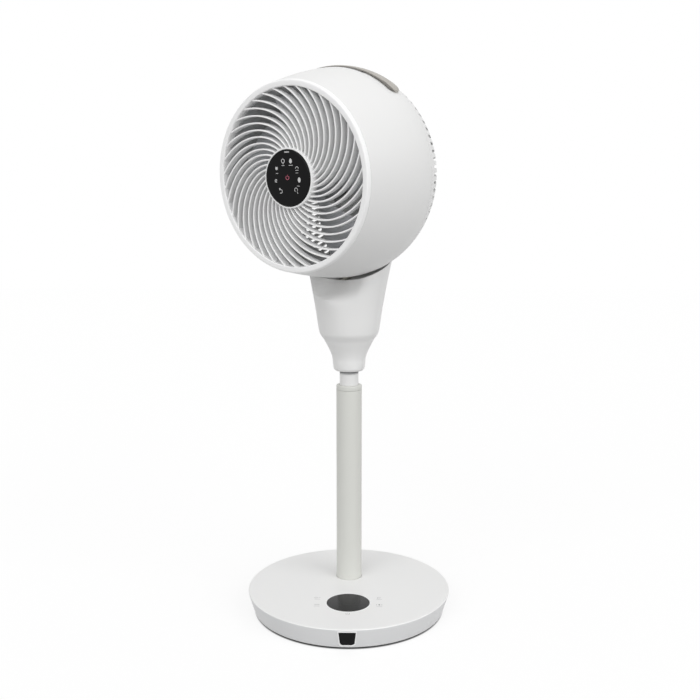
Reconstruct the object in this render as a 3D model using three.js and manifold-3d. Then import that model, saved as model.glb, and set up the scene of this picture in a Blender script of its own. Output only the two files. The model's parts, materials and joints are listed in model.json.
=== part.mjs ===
// Pedestal air circulator: a round weighted base, a telescopic pole, a neck that
// swings, and a ball-shaped head that tilts in the neck's cradle.
// Millimetres, +Z up. The origin is on the floor under the centre of the base,
// and the front of the base looks along -Y.
import * as THREE from 'three';
import { mergeVertices } from 'three/addons/utils/BufferGeometryUtils.js';
import { ParametricGeometry } from 'three/addons/geometries/ParametricGeometry.js';
import Module from 'manifold-3d';

const wasm = await Module();
wasm.setup();

// ---------------------------------------------------------------- driving sizes

const SEAT_GAP = 0.3;            // between two pieces that touch
const RUN_GAP = 0.4;             // round a shaft that turns
const WALL = 2.5;                // moulded shells
const DEG = Math.PI / 180;
const BASE_SEGMENTS = 48;        // sides of the rounds, by size
const HEAD_SEGMENTS = 42;
const NECK_SEGMENTS = 32;
const ROUND_SEGMENTS = 20;
const SMALL_SEGMENTS = 10;
const ARC_STEPS = 7;
const ROUND_MIDDLE = 1 - Math.SQRT1_2;   // where the middle of a quarter round lies, in radii

// base
const BASE_TOP_R = 165;
const BASE_SLANT = 10.5;
const BASE_FOOT_R = BASE_TOP_R - BASE_SLANT;
const BASE_TOP_Z = 35;
const BASE_EDGE_ROUND = 3;
const FOOT_HEIGHT = 2.5;
const FOOT_R = 9;
const FOOT_EDGE = 22.5;
const FOOT_RING_R = BASE_FOOT_R - FOOT_EDGE;
const FOOT_COUNT = 5;
const PLATE_THICK = 2;
const BALLAST_EDGE = 16.5;
const BALLAST_R = BASE_FOOT_R - BALLAST_EDGE;
const BALLAST_THICK = 6;

// display and controls in the base
const DISPLAY_EDGE = 97.5;       // from the middle of the display to the rim of the base
const DISPLAY_FORWARD = BASE_TOP_R - DISPLAY_EDGE;
const DISPLAY_R = 33.8;
const LENS_THICK = 1.8;
const LENS_LEDGE = 3;
const COVER_TOP_THICK = 3.2;
const MODULE_WIDTH = 46;
const MODULE_DEPTH = 24;
const MODULE_HEIGHT = 6.5;
const BOARD_WIDTH = 124;
const BOARD_DEPTH = 96;
const BOARD_THICK = 1.6;
const POST_R = 3;
const POST_INSET = 6;
const IR_TOP_WIDTH = 24;
const IR_FOOT_WIDTH = 19;
const IR_HEIGHT = 22;
const IR_CORNER_R = 6;
const IR_THICK = 2.2;
const IR_SILL = 9;
const INLET_WIDTH = 15;
const INLET_HEIGHT = 12;
const INLET_DEPTH = 16;
const INLET_BORE_R = 3.2;
const INLET_BORE_DEPTH = 11;
const INLET_PIN_R = 1.1;

// pole
const POLE_BACK = 42;
const OUTER_POLE_R = 21;
const OUTER_POLE_WALL = 1.5;
const OUTER_POLE_TOP = 355.5;
const POLE_STEP = 5.5;
const INNER_POLE_R = OUTER_POLE_R - POLE_STEP;
const INNER_POLE_WALL = 1.5;
const INNER_POLE_LENGTH = 202.5;
const INNER_POLE_SHOWN = 18.7;
const COLLAR_HEIGHT = 8;
const COLLAR_ROUND = 2.5;
const COLLAR_SLEEVE = 36;
const SOCKET_BRIM = 17;
const SOCKET_FLANGE_R = OUTER_POLE_R + SOCKET_BRIM;
const SOCKET_FLANGE_THICK = 5;
const SOCKET_SPIGOT = 44;
const SOCKET_WALL = 3;
const SCREW_OUT = 9;
const SCREW_RING_R = OUTER_POLE_R + SCREW_OUT;
const SCREW_COUNT = 4;
const SCREW_HEAD_R = 4.5;
const SCREW_HEAD_THICK = 3;
const SCREW_SHANK_R = 2.5;
const SCREW_BITE = 4;
const BUSH_HEIGHT = 18;
const BUSH_FLOOR = 3;
const BUSH_LIP = 2;

// swing bearing between the inner pole and the neck; rises count from the neck's foot
const SPINDLE_PLUG = 34;
const SPINDLE_FLANGE_THICK = 1.6;
const JOURNAL_R = 9;
const WASHER_THICK = 2.6;
const NECK_FLOOR_THICK = 12;
const BUSH_WALL = 4;
const SWING_GEAR_RISE = 64.9;
const SWING_GEAR_THICK = 6;
const SWING_MODULE = 1.5;
const SUN_TEETH = 30;
const PINION_TEETH = 12;
const GEAR_SEAT_R = 7;
const NUT_ACROSS_R = 10;
const NUT_THICK = 5.5;
const THREAD_R = 5;
const THREAD_END = 1;
const PINION_SHAFT_R = 3;
const CHASSIS_RISE = 78.4;
const CHASSIS_THICK = 3;
const MOTOR_R = 15;
const MOTOR_THICK = 17.5;

// neck, as radii at rises above its foot
const NECK_FOOT_R = 26.8;
const NECK_FOOT_BEVEL = 4.5;
const NECK_WAIST_RISE = 16.4;
const NECK_FLARE = [[30, 29.4], [39.8, 49.4], [48.4, 63.4]];
const NECK_BODY = [[54.7, 102.4], [62.2, 144.4], [86.6, 252.4]];
const SCOOP_SILL_RISE = 119.9;
const SCOOP_HALF_WIDTH = 61.5;
const SCOOP_HALF_HEIGHT = 48.5;
const SCOOP_HALF_DEPTH = 55;
const SCOOP_FORWARD = 75;
const SCOOP_SQUARENESS = 3;

// head: sizes along the fan axis count forward from the tilt axis
const HEAD_TURN = -35.2 * DEG;   // the head looks towards the left front
const HEAD_DROOP = 4.4 * DEG;    // nose below level
const TILT_DOWN = 10 * DEG;      // lowest nose angle below level
const TILT_UP = 35 * DEG;        // highest nose angle above level
const BALL_R = 166.5;
const BALL_RISE = 149.1;         // lowest point of the ball above the neck's foot
const TILT_FORWARD = 0.3045 * BALL_R;
const DRUM_STEP = 2;
const DRUM_R = BALL_R - DRUM_STEP;
const SHOULDER_SOFT = 0.8;
const DRUM_START = -26;
const RIM_FACE = 99.7;
const DRUM_TAPER = 24;
const RIM_R = DRUM_R - DRUM_TAPER;
const DRUM_POWER = 1.46;
const CRADLE_GAP = 2.5;
const SHELL_SEAM = -40;
const RIM_DEPTH = 6.7;
const RIM_SKIRT = 7;
const RIM_EDGE = 1.5;
const RIM_WIDTH = 10.5;
const OPENING_R = RIM_R - RIM_WIDTH;
const SLANT_SHARE = 1.06;        // a wall measured across a slanted skin
const REAR_HOLE_R = 52;
const REAR_CAP_SUNK = 1.5;
const REAR_CAP_THICK = 2.5;
const REAR_CAP_LIP = 4;

// grilles
const RIB_COUNT = 38;
const RIB_SWEEP = 63 * DEG;
const RIB_THICK = 2;
const RIB_DEPTH = 12;
const RIB_SET_BACK = 1.6;
const RIB_BURIED = 1;
const REMOTE_R = 41.7;
const HUB_WALL = 2.4;
const HUB_R = REMOTE_R + SEAT_GAP + HUB_WALL;
const HUB_PROUD = 2.3;
const HUB_DEPTH = 15;
const HUB_FACE = RIM_FACE + HUB_PROUD;
const HUB_BACK = HUB_FACE - HUB_DEPTH;
const HUB_EDGE = 0.8;
const HUB_FLOOR_THICK = 3;
const VENT_COUNT = 84;
const VENT_WIDTH = 5;
const VENT_REACH = 8;
const VENT_FROM = -52;
const VENT_SHORT = 44.5;
const VENT_TO = VENT_SHORT - BALL_R;
const BALL_RINGS = 5;
const OUTER_RINGS = 5;
const INNER_RINGS = 4;

// handle over its finger well
const HANDLE_FRONT = -10;
const HANDLE_BACK = -34;
const HANDLE_HALF_ANGLE = 45 * DEG;
const HANDLE_PROUD = 4.5;
const HANDLE_THICK = 7.5;
const WELL_FRONT = -6;
const WELL_BACK = -66;
const WELL_HALF_ANGLE = 24 * DEG;
const WELL_SINK = 28.5;
const WELL_FLOOR_R = BALL_R - WELL_SINK;
const WELL_WALL = 2;

// tilt drive: a toothed track inside the ball, and a gear in the neck
const TOOTH_ROOT = 1.15;         // depth below the pitch circle, in modules
const TOOTH_TIP = 0.8;           // height above it, in modules
const TRACK_MODULE = 2;
const SHOE_INSET = 8;
const SHOE_THICK = 3.5;
const SHOE_OUT_R = BALL_R - SHOE_INSET;
const SHOE_IN_R = SHOE_OUT_R - SHOE_THICK;
const TRACK_CLEARANCE = 3;       // between the shoes and the pitch circle
const TRACK_TEETH = Math.round((2 * (SHOE_IN_R - TRACK_CLEARANCE)) / TRACK_MODULE);
const TILT_GEAR_TEETH = 36;
const TILT_GEAR_WIDTH = 8;
const TRACK_FLOOR_THICK = 2.4;
const TRACK_HALF_WIDTH = 20;
const CARRIER_ANGLE = 22 * DEG;  // tilt gear behind straight down from the tilt axis
const SLOT_END_PLAY = 1 * DEG;
const TRACK_WALL = 2;
const TOOTH_MARGIN = 0.5;
const TRACK_TOOTH_HALF = TILT_GEAR_WIDTH / 2 + TOOTH_MARGIN;
const CHEEK_PLAY = 1.5;
const CHEEK_IN = TILT_GEAR_WIDTH / 2 + CHEEK_PLAY;
const CHEEK_THICK = 4.5;
const SIDE_PLAY = 1;
const SLOT_HALF_WIDTH = CHEEK_IN + CHEEK_THICK + SIDE_PLAY;
const SHOE_HALF_ANGLE = 5 * DEG;
const SHOE_TIP = TRACK_HALF_WIDTH - TRACK_WALL - SIDE_PLAY;
const SHOE_ROOT = 1;             // how far the cheek reaches into its shoe
const CHEEK_FOOT = 20;
const TILT_AXLE_R = 3;
const TILT_MOTOR_R = 14.5;
const TILT_MOTOR_THICK = 18;

// air path, motor and impeller
const DUCT_STEP = 1;
const DUCT_R = OPENING_R + DUCT_STEP;
const DUCT_WALL = 2;
const DUCT_LIP = 6;
const DUCT_LIP_THICK = 2.5;
const DUCT_FLANGE_THICK = 3;
const DUCT_BACK = -24;
const ARM_COUNT = 6;
const ARM_THICK = 4;
const ARM_DEPTH = 14;
const CASE_BACK = DUCT_BACK;
const CASE_FRONT = 10;
const CASE_WALL = 3;
const SHAFT_R = 4;
const BEARING_R = 11;
const BEARING_WIDTH = 7;
const BEARING_SPAN = 25;
const TUBE_WALL = 3;
const STATOR_R = 27;
const STATOR_RAISE = 2;
const STATOR_SHORT = 3;
const ROTOR_WALL = 3.5;
const ROTOR_GAP = 1;
const ROTOR_END_GAP = 2;
const CASE_PLAY = 1.5;
const CASE_R = STATOR_R + ROTOR_GAP + ROTOR_WALL + CASE_PLAY + CASE_WALL;
const ROTOR_BOSS = 7;
const SHAFT_BOSS_R = 9;
const HUB_OVER_CASE = 4;
const IMPELLER_HUB_R = CASE_R + HUB_OVER_CASE;
const IMPELLER_BACK = 13;
const IMPELLER_SET_BACK = 24.7;
const IMPELLER_FRONT = RIM_FACE - IMPELLER_SET_BACK;
const IMPELLER_NOSE = 5;
const TIP_GAP = 6;
const IMPELLER_R = DUCT_R - TIP_GAP;
const BLADE_COUNT = 5;
const BLADE_THICK = 3;
const BLADE_LEAN = 14 * DEG;
const BLADE_WRAP_ROOT = 33 * DEG;
const BLADE_WRAP_TIP = 26 * DEG;
const BLADE_DEPTH_ROOT = 52;
const BLADE_DEPTH_TIP = 44;
const SPINNER_NUT_R = 8;
const SPINNER_NUT_THICK = 7;

// round remote control that rests in the hub of the front grille
const REMOTE_PROUD = 2;
const REMOTE_FACE = HUB_FACE + REMOTE_PROUD;
const REMOTE_WALL = 1.8;
const REMOTE_FACE_THICK = 3.5;
const REMOTE_EDGE = 1.5;
const REMOTE_BACK_EDGE = 1;
const REMOTE_BOARD_THICK = 1.2;
const DOOR_THICK = 1.5;
const CELL_R = 10;
const CELL_THICK = 3.2;
const DOOR_R = 13;
const MAGNET_R = 9;
const MAGNET_THICK = 3;

// ------------------------------------------------------------------- materials

function finish(color, roughness, metalness = 0) {
  return new THREE.MeshStandardMaterial({ color, roughness, metalness });
}

const white = finish(0xe9e9e6, 0.5);
const poleWhite = finish(0xd9dbd5, 0.45);
const taupe = finish(0x9d988e, 0.6);
const black = finish(0x151516, 0.25);
const innerGrey = finish(0xc9cac8, 0.6);
const darkGrey = finish(0x6d6e6e, 0.7);
const rubber = finish(0x2c2c2c, 0.9);
const steel = finish(0xa9abad, 0.35, 1);
const iron = finish(0x55575a, 0.6, 1);
const boardGreen = finish(0x2f6b45, 0.6);
const nylon = finish(0xe2dfd2, 0.6);

// ---------------------------------------------------------------- solid helpers

// A closed three.js geometry as a solid: vertices merged, empty triangles dropped,
// faces turned outwards.
function solidOf(geometry) {
  const plain = geometry.clone();
  for (const name of ['normal', 'uv', 'color']) plain.deleteAttribute(name);
  const merged = mergeVertices(plain, 1e-4);
  const points = merged.attributes.position.array;
  const corners = [];
  let volume = 0;
  for (let i = 0; i < merged.index.count; i += 3) {
    const [a, b, c] = [0, 1, 2].map((k) => merged.index.array[i + k]);
    if (a === b || b === c || c === a) continue;
    corners.push(a, b, c);
    const at = (k) => new THREE.Vector3().fromArray(points, 3 * k);
    volume += at(a).dot(at(b).cross(at(c)));
  }
  if (volume < 0) corners.reverse();
  return new wasm.Manifold(new wasm.Mesh({
    numProp: 3,
    vertProperties: Float32Array.from(points),
    triVerts: Uint32Array.from(corners),
  }));
}

function geometryOf(solid) {
  const mesh = solid.getMesh();
  const geometry = new THREE.BufferGeometry();
  geometry.setAttribute('position', new THREE.BufferAttribute(mesh.vertProperties, 3));
  geometry.setIndex(new THREE.BufferAttribute(mesh.triVerts, 1));
  return geometry;
}

function joined(solids) {
  return solids.reduce((whole, next) => whole.add(next));
}

function cutBy(solid, cutters) {
  return cutters.reduce((left, cutter) => left.subtract(cutter), solid);
}

// A profile of [radius, height] pairs turned about +Z.
function turned(profile, segments = ROUND_SEGMENTS) {
  const points = profile.map(([r, z]) => new THREE.Vector2(r, z));
  return solidOf(new THREE.LatheGeometry(points, segments).rotateX(Math.PI / 2));
}

// A ring or tube about +Z between two radii and two heights.
function ring(inner, outer, low, high, segments = ROUND_SEGMENTS) {
  return turned([[inner, low], [outer, low], [outer, high], [inner, high], [inner, low]], segments);
}

function disc(radius, low, high, segments = ROUND_SEGMENTS) {
  return turned([[0, low], [radius, low], [radius, high], [0, high]], segments);
}

function discAt(radius, low, high, x, y, segments = SMALL_SEGMENTS) {
  const geometry = new THREE.CylinderGeometry(radius, radius, high - low, segments);
  return solidOf(geometry.rotateX(Math.PI / 2).translate(x, y, (low + high) / 2));
}

// A rod along +X between two places.
function rodAlongX(radius, from, to, y, z, segments = SMALL_SEGMENTS) {
  const geometry = new THREE.CylinderGeometry(radius, radius, to - from, segments);
  return solidOf(geometry.rotateZ(Math.PI / 2).translate((from + to) / 2, y, z));
}

function box(low, high) {
  const size = high.map((v, i) => v - low[i]);
  const centre = high.map((v, i) => (v + low[i]) / 2);
  return solidOf(new THREE.BoxGeometry(...size).translate(...centre));
}

// A flat shape in XY raised from low to high along +Z.
function raised(shape, low, high, curveSegments = 12) {
  const depth = high - low;
  const geometry = new THREE.ExtrudeGeometry(shape, { depth, bevelEnabled: false, curveSegments });
  return solidOf(geometry.translate(0, 0, low));
}

// A flat shape drawn as (forward, up) and raised sideways from x = left to x = right.
function raisedSideways(shape, left, right, curveSegments = 12) {
  const depth = right - left;
  const geometry = new THREE.ExtrudeGeometry(shape, { depth, bevelEnabled: false, curveSegments });
  return solidOf(geometry.rotateY(-Math.PI / 2).translate(right, 0, 0));
}

// Straight-toothed gear outline: four points a tooth, with play at the pitch circle.
function toothPoints(radius, module, angle, step) {
  const root = radius - TOOTH_ROOT * module;
  const tip = radius + TOOTH_TIP * module;
  return [[root, -0.33], [tip, -0.13], [tip, 0.13], [root, 0.33]].map(([r, share]) => {
    const at = angle + share * step;
    return new THREE.Vector2(r * Math.cos(at), r * Math.sin(at));
  });
}

function gearShape(teeth, module, phase = 0) {
  const step = (2 * Math.PI) / teeth;
  const points = [];
  for (let i = 0; i < teeth; i += 1) {
    points.push(...toothPoints((teeth * module) / 2, module, phase + i * step, step));
  }
  return new THREE.Shape(points);
}

function hexagon(acrossCorners, low, high, boreR) {
  const nut = solidOf(new THREE.CylinderGeometry(acrossCorners, acrossCorners, high - low, 6)
    .rotateX(Math.PI / 2).translate(0, 0, (low + high) / 2));
  return nut.subtract(disc(boreR, low - 1, high + 1, SMALL_SEGMENTS));
}

function part(group, name, solid, material) {
  const mesh = new THREE.Mesh(geometryOf(solid), material.clone());
  mesh.name = name;
  group.add(mesh);
  return mesh;
}

// ------------------------------------------------------------------------ base

const plateTop = FOOT_HEIGHT + PLATE_THICK;
const ballastLow = plateTop + SEAT_GAP;
const ballastTop = ballastLow + BALLAST_THICK;
const socketLow = ballastTop + SEAT_GAP;
const socketTop = socketLow + SOCKET_FLANGE_THICK;
const poleFoot = socketTop + SEAT_GAP;
const coverLow = FOOT_HEIGHT + SEAT_GAP;
const coverSlope = (BASE_TOP_R - BASE_FOOT_R) / (BASE_TOP_Z - coverLow);
const lensTop = BASE_TOP_Z - SEAT_GAP;
const lensPocket = lensTop - LENS_THICK - SEAT_GAP;
const ledgeR = DISPLAY_R - LENS_LEDGE;
const moduleTop = BASE_TOP_Z - COVER_TOP_THICK - SEAT_GAP;
const boardTop = moduleTop - MODULE_HEIGHT;
const inletLow = ballastTop + SEAT_GAP;

function coverRadius(z) {
  return BASE_FOOT_R + coverSlope * (z - coverLow);
}

// The window's outline is a U that narrows downwards, drawn as (side, up).
function irOutline(play) {
  const top = IR_TOP_WIDTH / 2 + play;
  const foot = IR_FOOT_WIDTH / 2 + play;
  const shape = new THREE.Shape();
  shape.moveTo(-top, IR_HEIGHT + play);
  shape.lineTo(-foot, IR_CORNER_R);
  shape.quadraticCurveTo(-foot, -play, -foot + IR_CORNER_R, -play);
  shape.lineTo(foot - IR_CORNER_R, -play);
  shape.quadraticCurveTo(foot, -play, foot, IR_CORNER_R);
  shape.lineTo(top, IR_HEIGHT + play);
  return shape;
}

// The window lies in the slope of the front wall.
function irWindow(play, deep, proud) {
  const geometry = new THREE.ExtrudeGeometry(irOutline(play), {
    depth: deep + proud, bevelEnabled: false, curveSegments: 5,
  });
  geometry.translate(0, 0, -deep);
  geometry.rotateX(Math.PI / 2 + Math.atan(coverSlope));
  return solidOf(geometry.translate(0, -coverRadius(IR_SILL), IR_SILL));
}

function inletBody(play) {
  const back = coverRadius(inletLow) - SEAT_GAP;
  const half = INLET_WIDTH / 2 + play;
  return box([-half, back - INLET_DEPTH, inletLow - play], [half, back, inletLow + INLET_HEIGHT + play]);
}

function baseCover() {
  const inner = (z) => coverRadius(z) - WALL;
  const roundLow = BASE_TOP_Z - BASE_EDGE_ROUND;
  const half = BASE_EDGE_ROUND * ROUND_MIDDLE;
  const ceiling = BASE_TOP_Z - COVER_TOP_THICK;
  const shell = turned([
    [0, ceiling], [inner(ceiling), ceiling], [inner(coverLow), coverLow],
    [coverRadius(coverLow), coverLow], [coverRadius(roundLow), roundLow],
    [BASE_TOP_R - half, BASE_TOP_Z - half], [BASE_TOP_R - BASE_EDGE_ROUND, BASE_TOP_Z], [0, BASE_TOP_Z],
  ], BASE_SEGMENTS);
  const posts = [-1, 1].flatMap((x) => [-1, 1].map((y) => discAt(
    POST_R, boardTop, ceiling + 1, x * (BOARD_WIDTH / 2 - POST_INSET),
    y * (BOARD_DEPTH / 2 - POST_INSET) - DISPLAY_FORWARD, 12,
  )));
  return cutBy(joined([shell, ...posts]), [
    discAt(DISPLAY_R + SEAT_GAP, lensPocket, BASE_TOP_Z + 1, 0, -DISPLAY_FORWARD, NECK_SEGMENTS),
    discAt(ledgeR, ceiling - 1, BASE_TOP_Z, 0, -DISPLAY_FORWARD, ROUND_SEGMENTS),
    discAt(OUTER_POLE_R + SEAT_GAP, ceiling - 1, BASE_TOP_Z + 1, 0, POLE_BACK, ROUND_SEGMENTS),
    irWindow(SEAT_GAP, 2 * WALL, WALL),
    inletBody(SEAT_GAP).translate(0, WALL, 0),
  ]);
}

function buildBase(group) {
  part(group, 'base_cover', baseCover(), white);
  const plate = disc(BASE_FOOT_R - WALL - SEAT_GAP, FOOT_HEIGHT, plateTop, BASE_SEGMENTS);
  part(group, 'base_plate', plate, darkGrey);
  const screwHoles = screwPlaces().map(([x, y]) => discAt(
    SCREW_SHANK_R + SEAT_GAP, ballastTop - SCREW_BITE - SEAT_GAP, ballastTop + 1, x, y,
  ));
  const ballast = disc(BALLAST_R, ballastLow, ballastTop, NECK_SEGMENTS);
  part(group, 'ballast_disc', cutBy(ballast, screwHoles), iron);
  for (let i = 0; i < FOOT_COUNT; i += 1) {
    const at = (i * 2 * Math.PI) / FOOT_COUNT - Math.PI / 2;
    const [x, y] = [FOOT_RING_R * Math.cos(at), FOOT_RING_R * Math.sin(at)];
    part(group, `rubber_foot_${i + 1}`, discAt(FOOT_R, 0, FOOT_HEIGHT - SEAT_GAP, x, y), rubber);
  }
  const lens = discAt(DISPLAY_R, lensTop - LENS_THICK, lensTop, 0, -DISPLAY_FORWARD, NECK_SEGMENTS);
  part(group, 'display_lens', lens, black);
  part(group, 'display_module', box(
    [-MODULE_WIDTH / 2, -DISPLAY_FORWARD - MODULE_DEPTH / 2, boardTop],
    [MODULE_WIDTH / 2, -DISPLAY_FORWARD + MODULE_DEPTH / 2, moduleTop],
  ), darkGrey);
  part(group, 'touch_board', box(
    [-BOARD_WIDTH / 2, -DISPLAY_FORWARD - BOARD_DEPTH / 2, boardTop - BOARD_THICK - SEAT_GAP],
    [BOARD_WIDTH / 2, -DISPLAY_FORWARD + BOARD_DEPTH / 2, boardTop - SEAT_GAP],
  ), boardGreen);
  part(group, 'ir_window', irWindow(0, WALL, IR_THICK - WALL), black);
  part(group, 'power_inlet', powerInlet(), darkGrey);
}

function powerInlet() {
  const back = coverRadius(inletLow) - SEAT_GAP;
  const middle = inletLow + INLET_HEIGHT / 2;
  const along = (radius, from, to) => {
    const rod = new THREE.CylinderGeometry(radius, radius, to - from, SMALL_SEGMENTS);
    return solidOf(rod.translate(0, (from + to) / 2, middle));
  };
  const bored = inletBody(0).subtract(along(INLET_BORE_R, back - INLET_BORE_DEPTH, back + 1));
  return bored.add(along(INLET_PIN_R, back - INLET_BORE_DEPTH - 1, back - 1));
}

// ------------------------------------------------------------------------ pole

const collarLow = OUTER_POLE_TOP + SEAT_GAP;
const collarTop = collarLow + COLLAR_HEIGHT;
const outerBore = OUTER_POLE_R - OUTER_POLE_WALL;
const innerBore = INNER_POLE_R - INNER_POLE_WALL;
const innerPoleTop = collarTop + INNER_POLE_SHOWN;
const innerPoleFoot = innerPoleTop - INNER_POLE_LENGTH;

function screwPlaces() {
  return Array.from({ length: SCREW_COUNT }, (_, i) => {
    const at = ((i + 0.5) * 2 * Math.PI) / SCREW_COUNT;
    return [SCREW_RING_R * Math.cos(at), POLE_BACK + SCREW_RING_R * Math.sin(at)];
  });
}

function poleSocket() {
  const outer = outerBore - SEAT_GAP;
  const holes = screwPlaces().map(([x, y]) => discAt(
    SCREW_SHANK_R + SEAT_GAP, socketLow - 1, socketTop + 1, x, y - POLE_BACK,
  ));
  return cutBy(turned([
    [0, socketLow], [SOCKET_FLANGE_R, socketLow], [SOCKET_FLANGE_R, socketTop], [outer, socketTop],
    [outer, socketTop + SOCKET_SPIGOT], [outer - SOCKET_WALL, socketTop + SOCKET_SPIGOT],
    [outer - SOCKET_WALL, socketTop], [0, socketTop],
  ]), holes);
}

function poleCollar() {
  const guide = INNER_POLE_R + SEAT_GAP;
  const sleeve = outerBore - SEAT_GAP;
  return turned([
    [guide, collarLow - COLLAR_SLEEVE], [sleeve, collarLow - COLLAR_SLEEVE], [sleeve, collarLow],
    [OUTER_POLE_R, collarLow], [OUTER_POLE_R, collarTop - COLLAR_ROUND],
    [OUTER_POLE_R - ROUND_MIDDLE * COLLAR_ROUND, collarTop - ROUND_MIDDLE * COLLAR_ROUND],
    [OUTER_POLE_R - COLLAR_ROUND, collarTop], [guide, collarTop], [guide, collarLow - COLLAR_SLEEVE],
  ]);
}

function buildPole(group) {
  part(group, 'pole_socket', poleSocket(), nylon);
  screwPlaces().forEach(([x, y], i) => {
    const low = socketTop + SEAT_GAP;
    const head = discAt(SCREW_HEAD_R, low, low + SCREW_HEAD_THICK, x, y - POLE_BACK);
    const shank = discAt(SCREW_SHANK_R, ballastTop - SCREW_BITE, low + 1, x, y - POLE_BACK);
    part(group, `socket_screw_${i + 1}`, head.add(shank), steel);
  });
  part(group, 'outer_pole', ring(outerBore, OUTER_POLE_R, poleFoot, OUTER_POLE_TOP), poleWhite);
  part(group, 'pole_collar', poleCollar(), poleWhite);
}

// ----------------------------------------------------- sliding pole and spindle

const flangeLow = innerPoleTop + SEAT_GAP;
const flangeTop = flangeLow + SPINDLE_FLANGE_THICK;
const washerTop = flangeTop + SEAT_GAP + WASHER_THICK;
const neckLow = washerTop + SEAT_GAP;
const gearLow = neckLow + SWING_GEAR_RISE;
const gearTop = gearLow + SWING_GEAR_THICK;
const nutTop = gearTop + SEAT_GAP + NUT_THICK;

function poleBush() {
  const outer = outerBore - SEAT_GAP;
  const inner = INNER_POLE_R + SEAT_GAP;
  const hole = innerBore - BUSH_LIP;
  const floor = innerPoleFoot - SEAT_GAP;
  return turned([
    [hole, floor - BUSH_FLOOR], [outer, floor - BUSH_FLOOR], [outer, floor + BUSH_HEIGHT],
    [inner, floor + BUSH_HEIGHT], [inner, floor], [hole, floor], [hole, floor - BUSH_FLOOR],
  ]);
}

function swingSpindle() {
  const plug = innerBore - SEAT_GAP;
  return turned([
    [0, innerPoleTop - SPINDLE_PLUG], [plug, innerPoleTop - SPINDLE_PLUG], [plug, flangeLow],
    [INNER_POLE_R, flangeLow], [INNER_POLE_R, flangeTop], [JOURNAL_R, flangeTop],
    [JOURNAL_R, gearLow - SEAT_GAP], [GEAR_SEAT_R, gearLow - SEAT_GAP],
    [GEAR_SEAT_R, gearTop], [THREAD_R, gearTop], [THREAD_R, nutTop + THREAD_END], [0, nutTop + THREAD_END],
  ]);
}

function buildSlidingPole(group) {
  part(group, 'inner_pole', ring(innerBore, INNER_POLE_R, innerPoleFoot, innerPoleTop), poleWhite);
  part(group, 'pole_foot_bush', poleBush(), nylon);
  part(group, 'swing_spindle', swingSpindle(), innerGrey);
  const washerLow = flangeTop + SEAT_GAP;
  part(group, 'swing_washer', ring(JOURNAL_R + SEAT_GAP, INNER_POLE_R, washerLow, washerTop), darkGrey);
  const towardPinion = HEAD_TURN - Math.PI / 2;
  const sun = raised(gearShape(SUN_TEETH, SWING_MODULE, towardPinion), gearLow, gearTop);
  const bore = disc(GEAR_SEAT_R + SEAT_GAP, gearLow - 1, gearTop + 1);
  part(group, 'swing_sun_gear', sun.subtract(bore), nylon);
  part(group, 'spindle_nut', hexagon(NUT_ACROSS_R, gearTop + SEAT_GAP, nutTop, THREAD_R + SEAT_GAP), steel);
}

// -------------------------------------------------------------- head's outline

// Radius of the ball-shaped head at a place along the fan axis: a drum that draws
// in towards the front, and behind it a ball about the tilt axis. The two meet in
// a soft shoulder.
function headRadius(along) {
  const reach = Math.max(0, (along - DRUM_START) / (RIM_FACE - DRUM_START));
  const drum = DRUM_R - (DRUM_R - RIM_R) * reach ** DRUM_POWER;
  const ball = Math.sqrt(BALL_R ** 2 - Math.min(0, along) ** 2);
  return -SHOULDER_SOFT * Math.log(Math.exp(-drum / SHOULDER_SOFT) + Math.exp(-ball / SHOULDER_SOFT));
}

// Profile points of the head's skin, moved inwards along the fan axis's radius.
function headSkin(from, to, count, inset = 0) {
  return Array.from({ length: count + 1 }, (_, i) => {
    const along = from + ((to - from) * i) / count;
    const slope = headRadius(along + 0.5) - headRadius(along - 0.5);
    return [headRadius(along) - inset * Math.hypot(1, slope), along];
  });
}

// Profile points of a ball about the tilt axis, from a place along the fan axis to
// the round hole at its back.
function ballSkin(radius, from, holeR) {
  const first = Math.asin(-from / radius);
  const last = Math.acos(holeR / radius);
  return Array.from({ length: BALL_RINGS + 1 }, (_, i) => {
    const turn = first + ((last - first) * i) / BALL_RINGS;
    return [radius * Math.cos(turn), -radius * Math.sin(turn)];
  });
}

// Everything under the head's skin between two places along the fan axis.
function underSkin(from, to, count, inset = 0) {
  return turned([[0, from], ...headSkin(from, to, count, inset), [0, to]], HEAD_SEGMENTS);
}

// A sector about the fan axis, between two radii, round the middle angle.
function sector(inner, outer, middle, half, back, front, steps = 6) {
  const shape = new THREE.Shape();
  shape.absarc(0, 0, outer, middle - half, middle + half, false);
  shape.absarc(0, 0, inner, middle + half, middle - half, true);
  return raised(shape, back, front, steps);
}

// ------------------------------------------------------------------------ neck

// The neck is modelled on the pole's axis with its front towards -Y.
const tiltZ = neckLow + BALL_RISE + BALL_R;
const chassisLow = neckLow + CHASSIS_RISE;
const trackR = (TRACK_TEETH * TRACK_MODULE) / 2;
const tiltGearR = (TILT_GEAR_TEETH * TRACK_MODULE) / 2;
const gearReach = trackR + tiltGearR;
const gearAt = aroundTilt(gearReach, CARRIER_ANGLE);
const motorReach = ((SUN_TEETH + PINION_TEETH) * SWING_MODULE) / 2;
const motorLow = chassisLow + CHASSIS_THICK + SEAT_GAP;

// A place in the neck at a reach from the tilt axis, turned from straight down
// towards the back.
function aroundTilt(reach, angle) {
  return { y: -TILT_FORWARD + reach * Math.sin(angle), z: tiltZ - reach * Math.cos(angle) };
}

function neckProfile(inset) {
  const flare = new THREE.SplineCurve([
    [NECK_FOOT_R, NECK_WAIST_RISE], ...NECK_FLARE,
  ].map(([r, rise]) => new THREE.Vector2(r, rise))).getPoints(5);
  const outline = [
    [NECK_FOOT_R, NECK_FOOT_BEVEL], ...flare.map((p) => [p.x, p.y]), ...NECK_BODY,
  ];
  return outline.map(([r, rise]) => [r - inset, neckLow + rise]);
}

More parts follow.
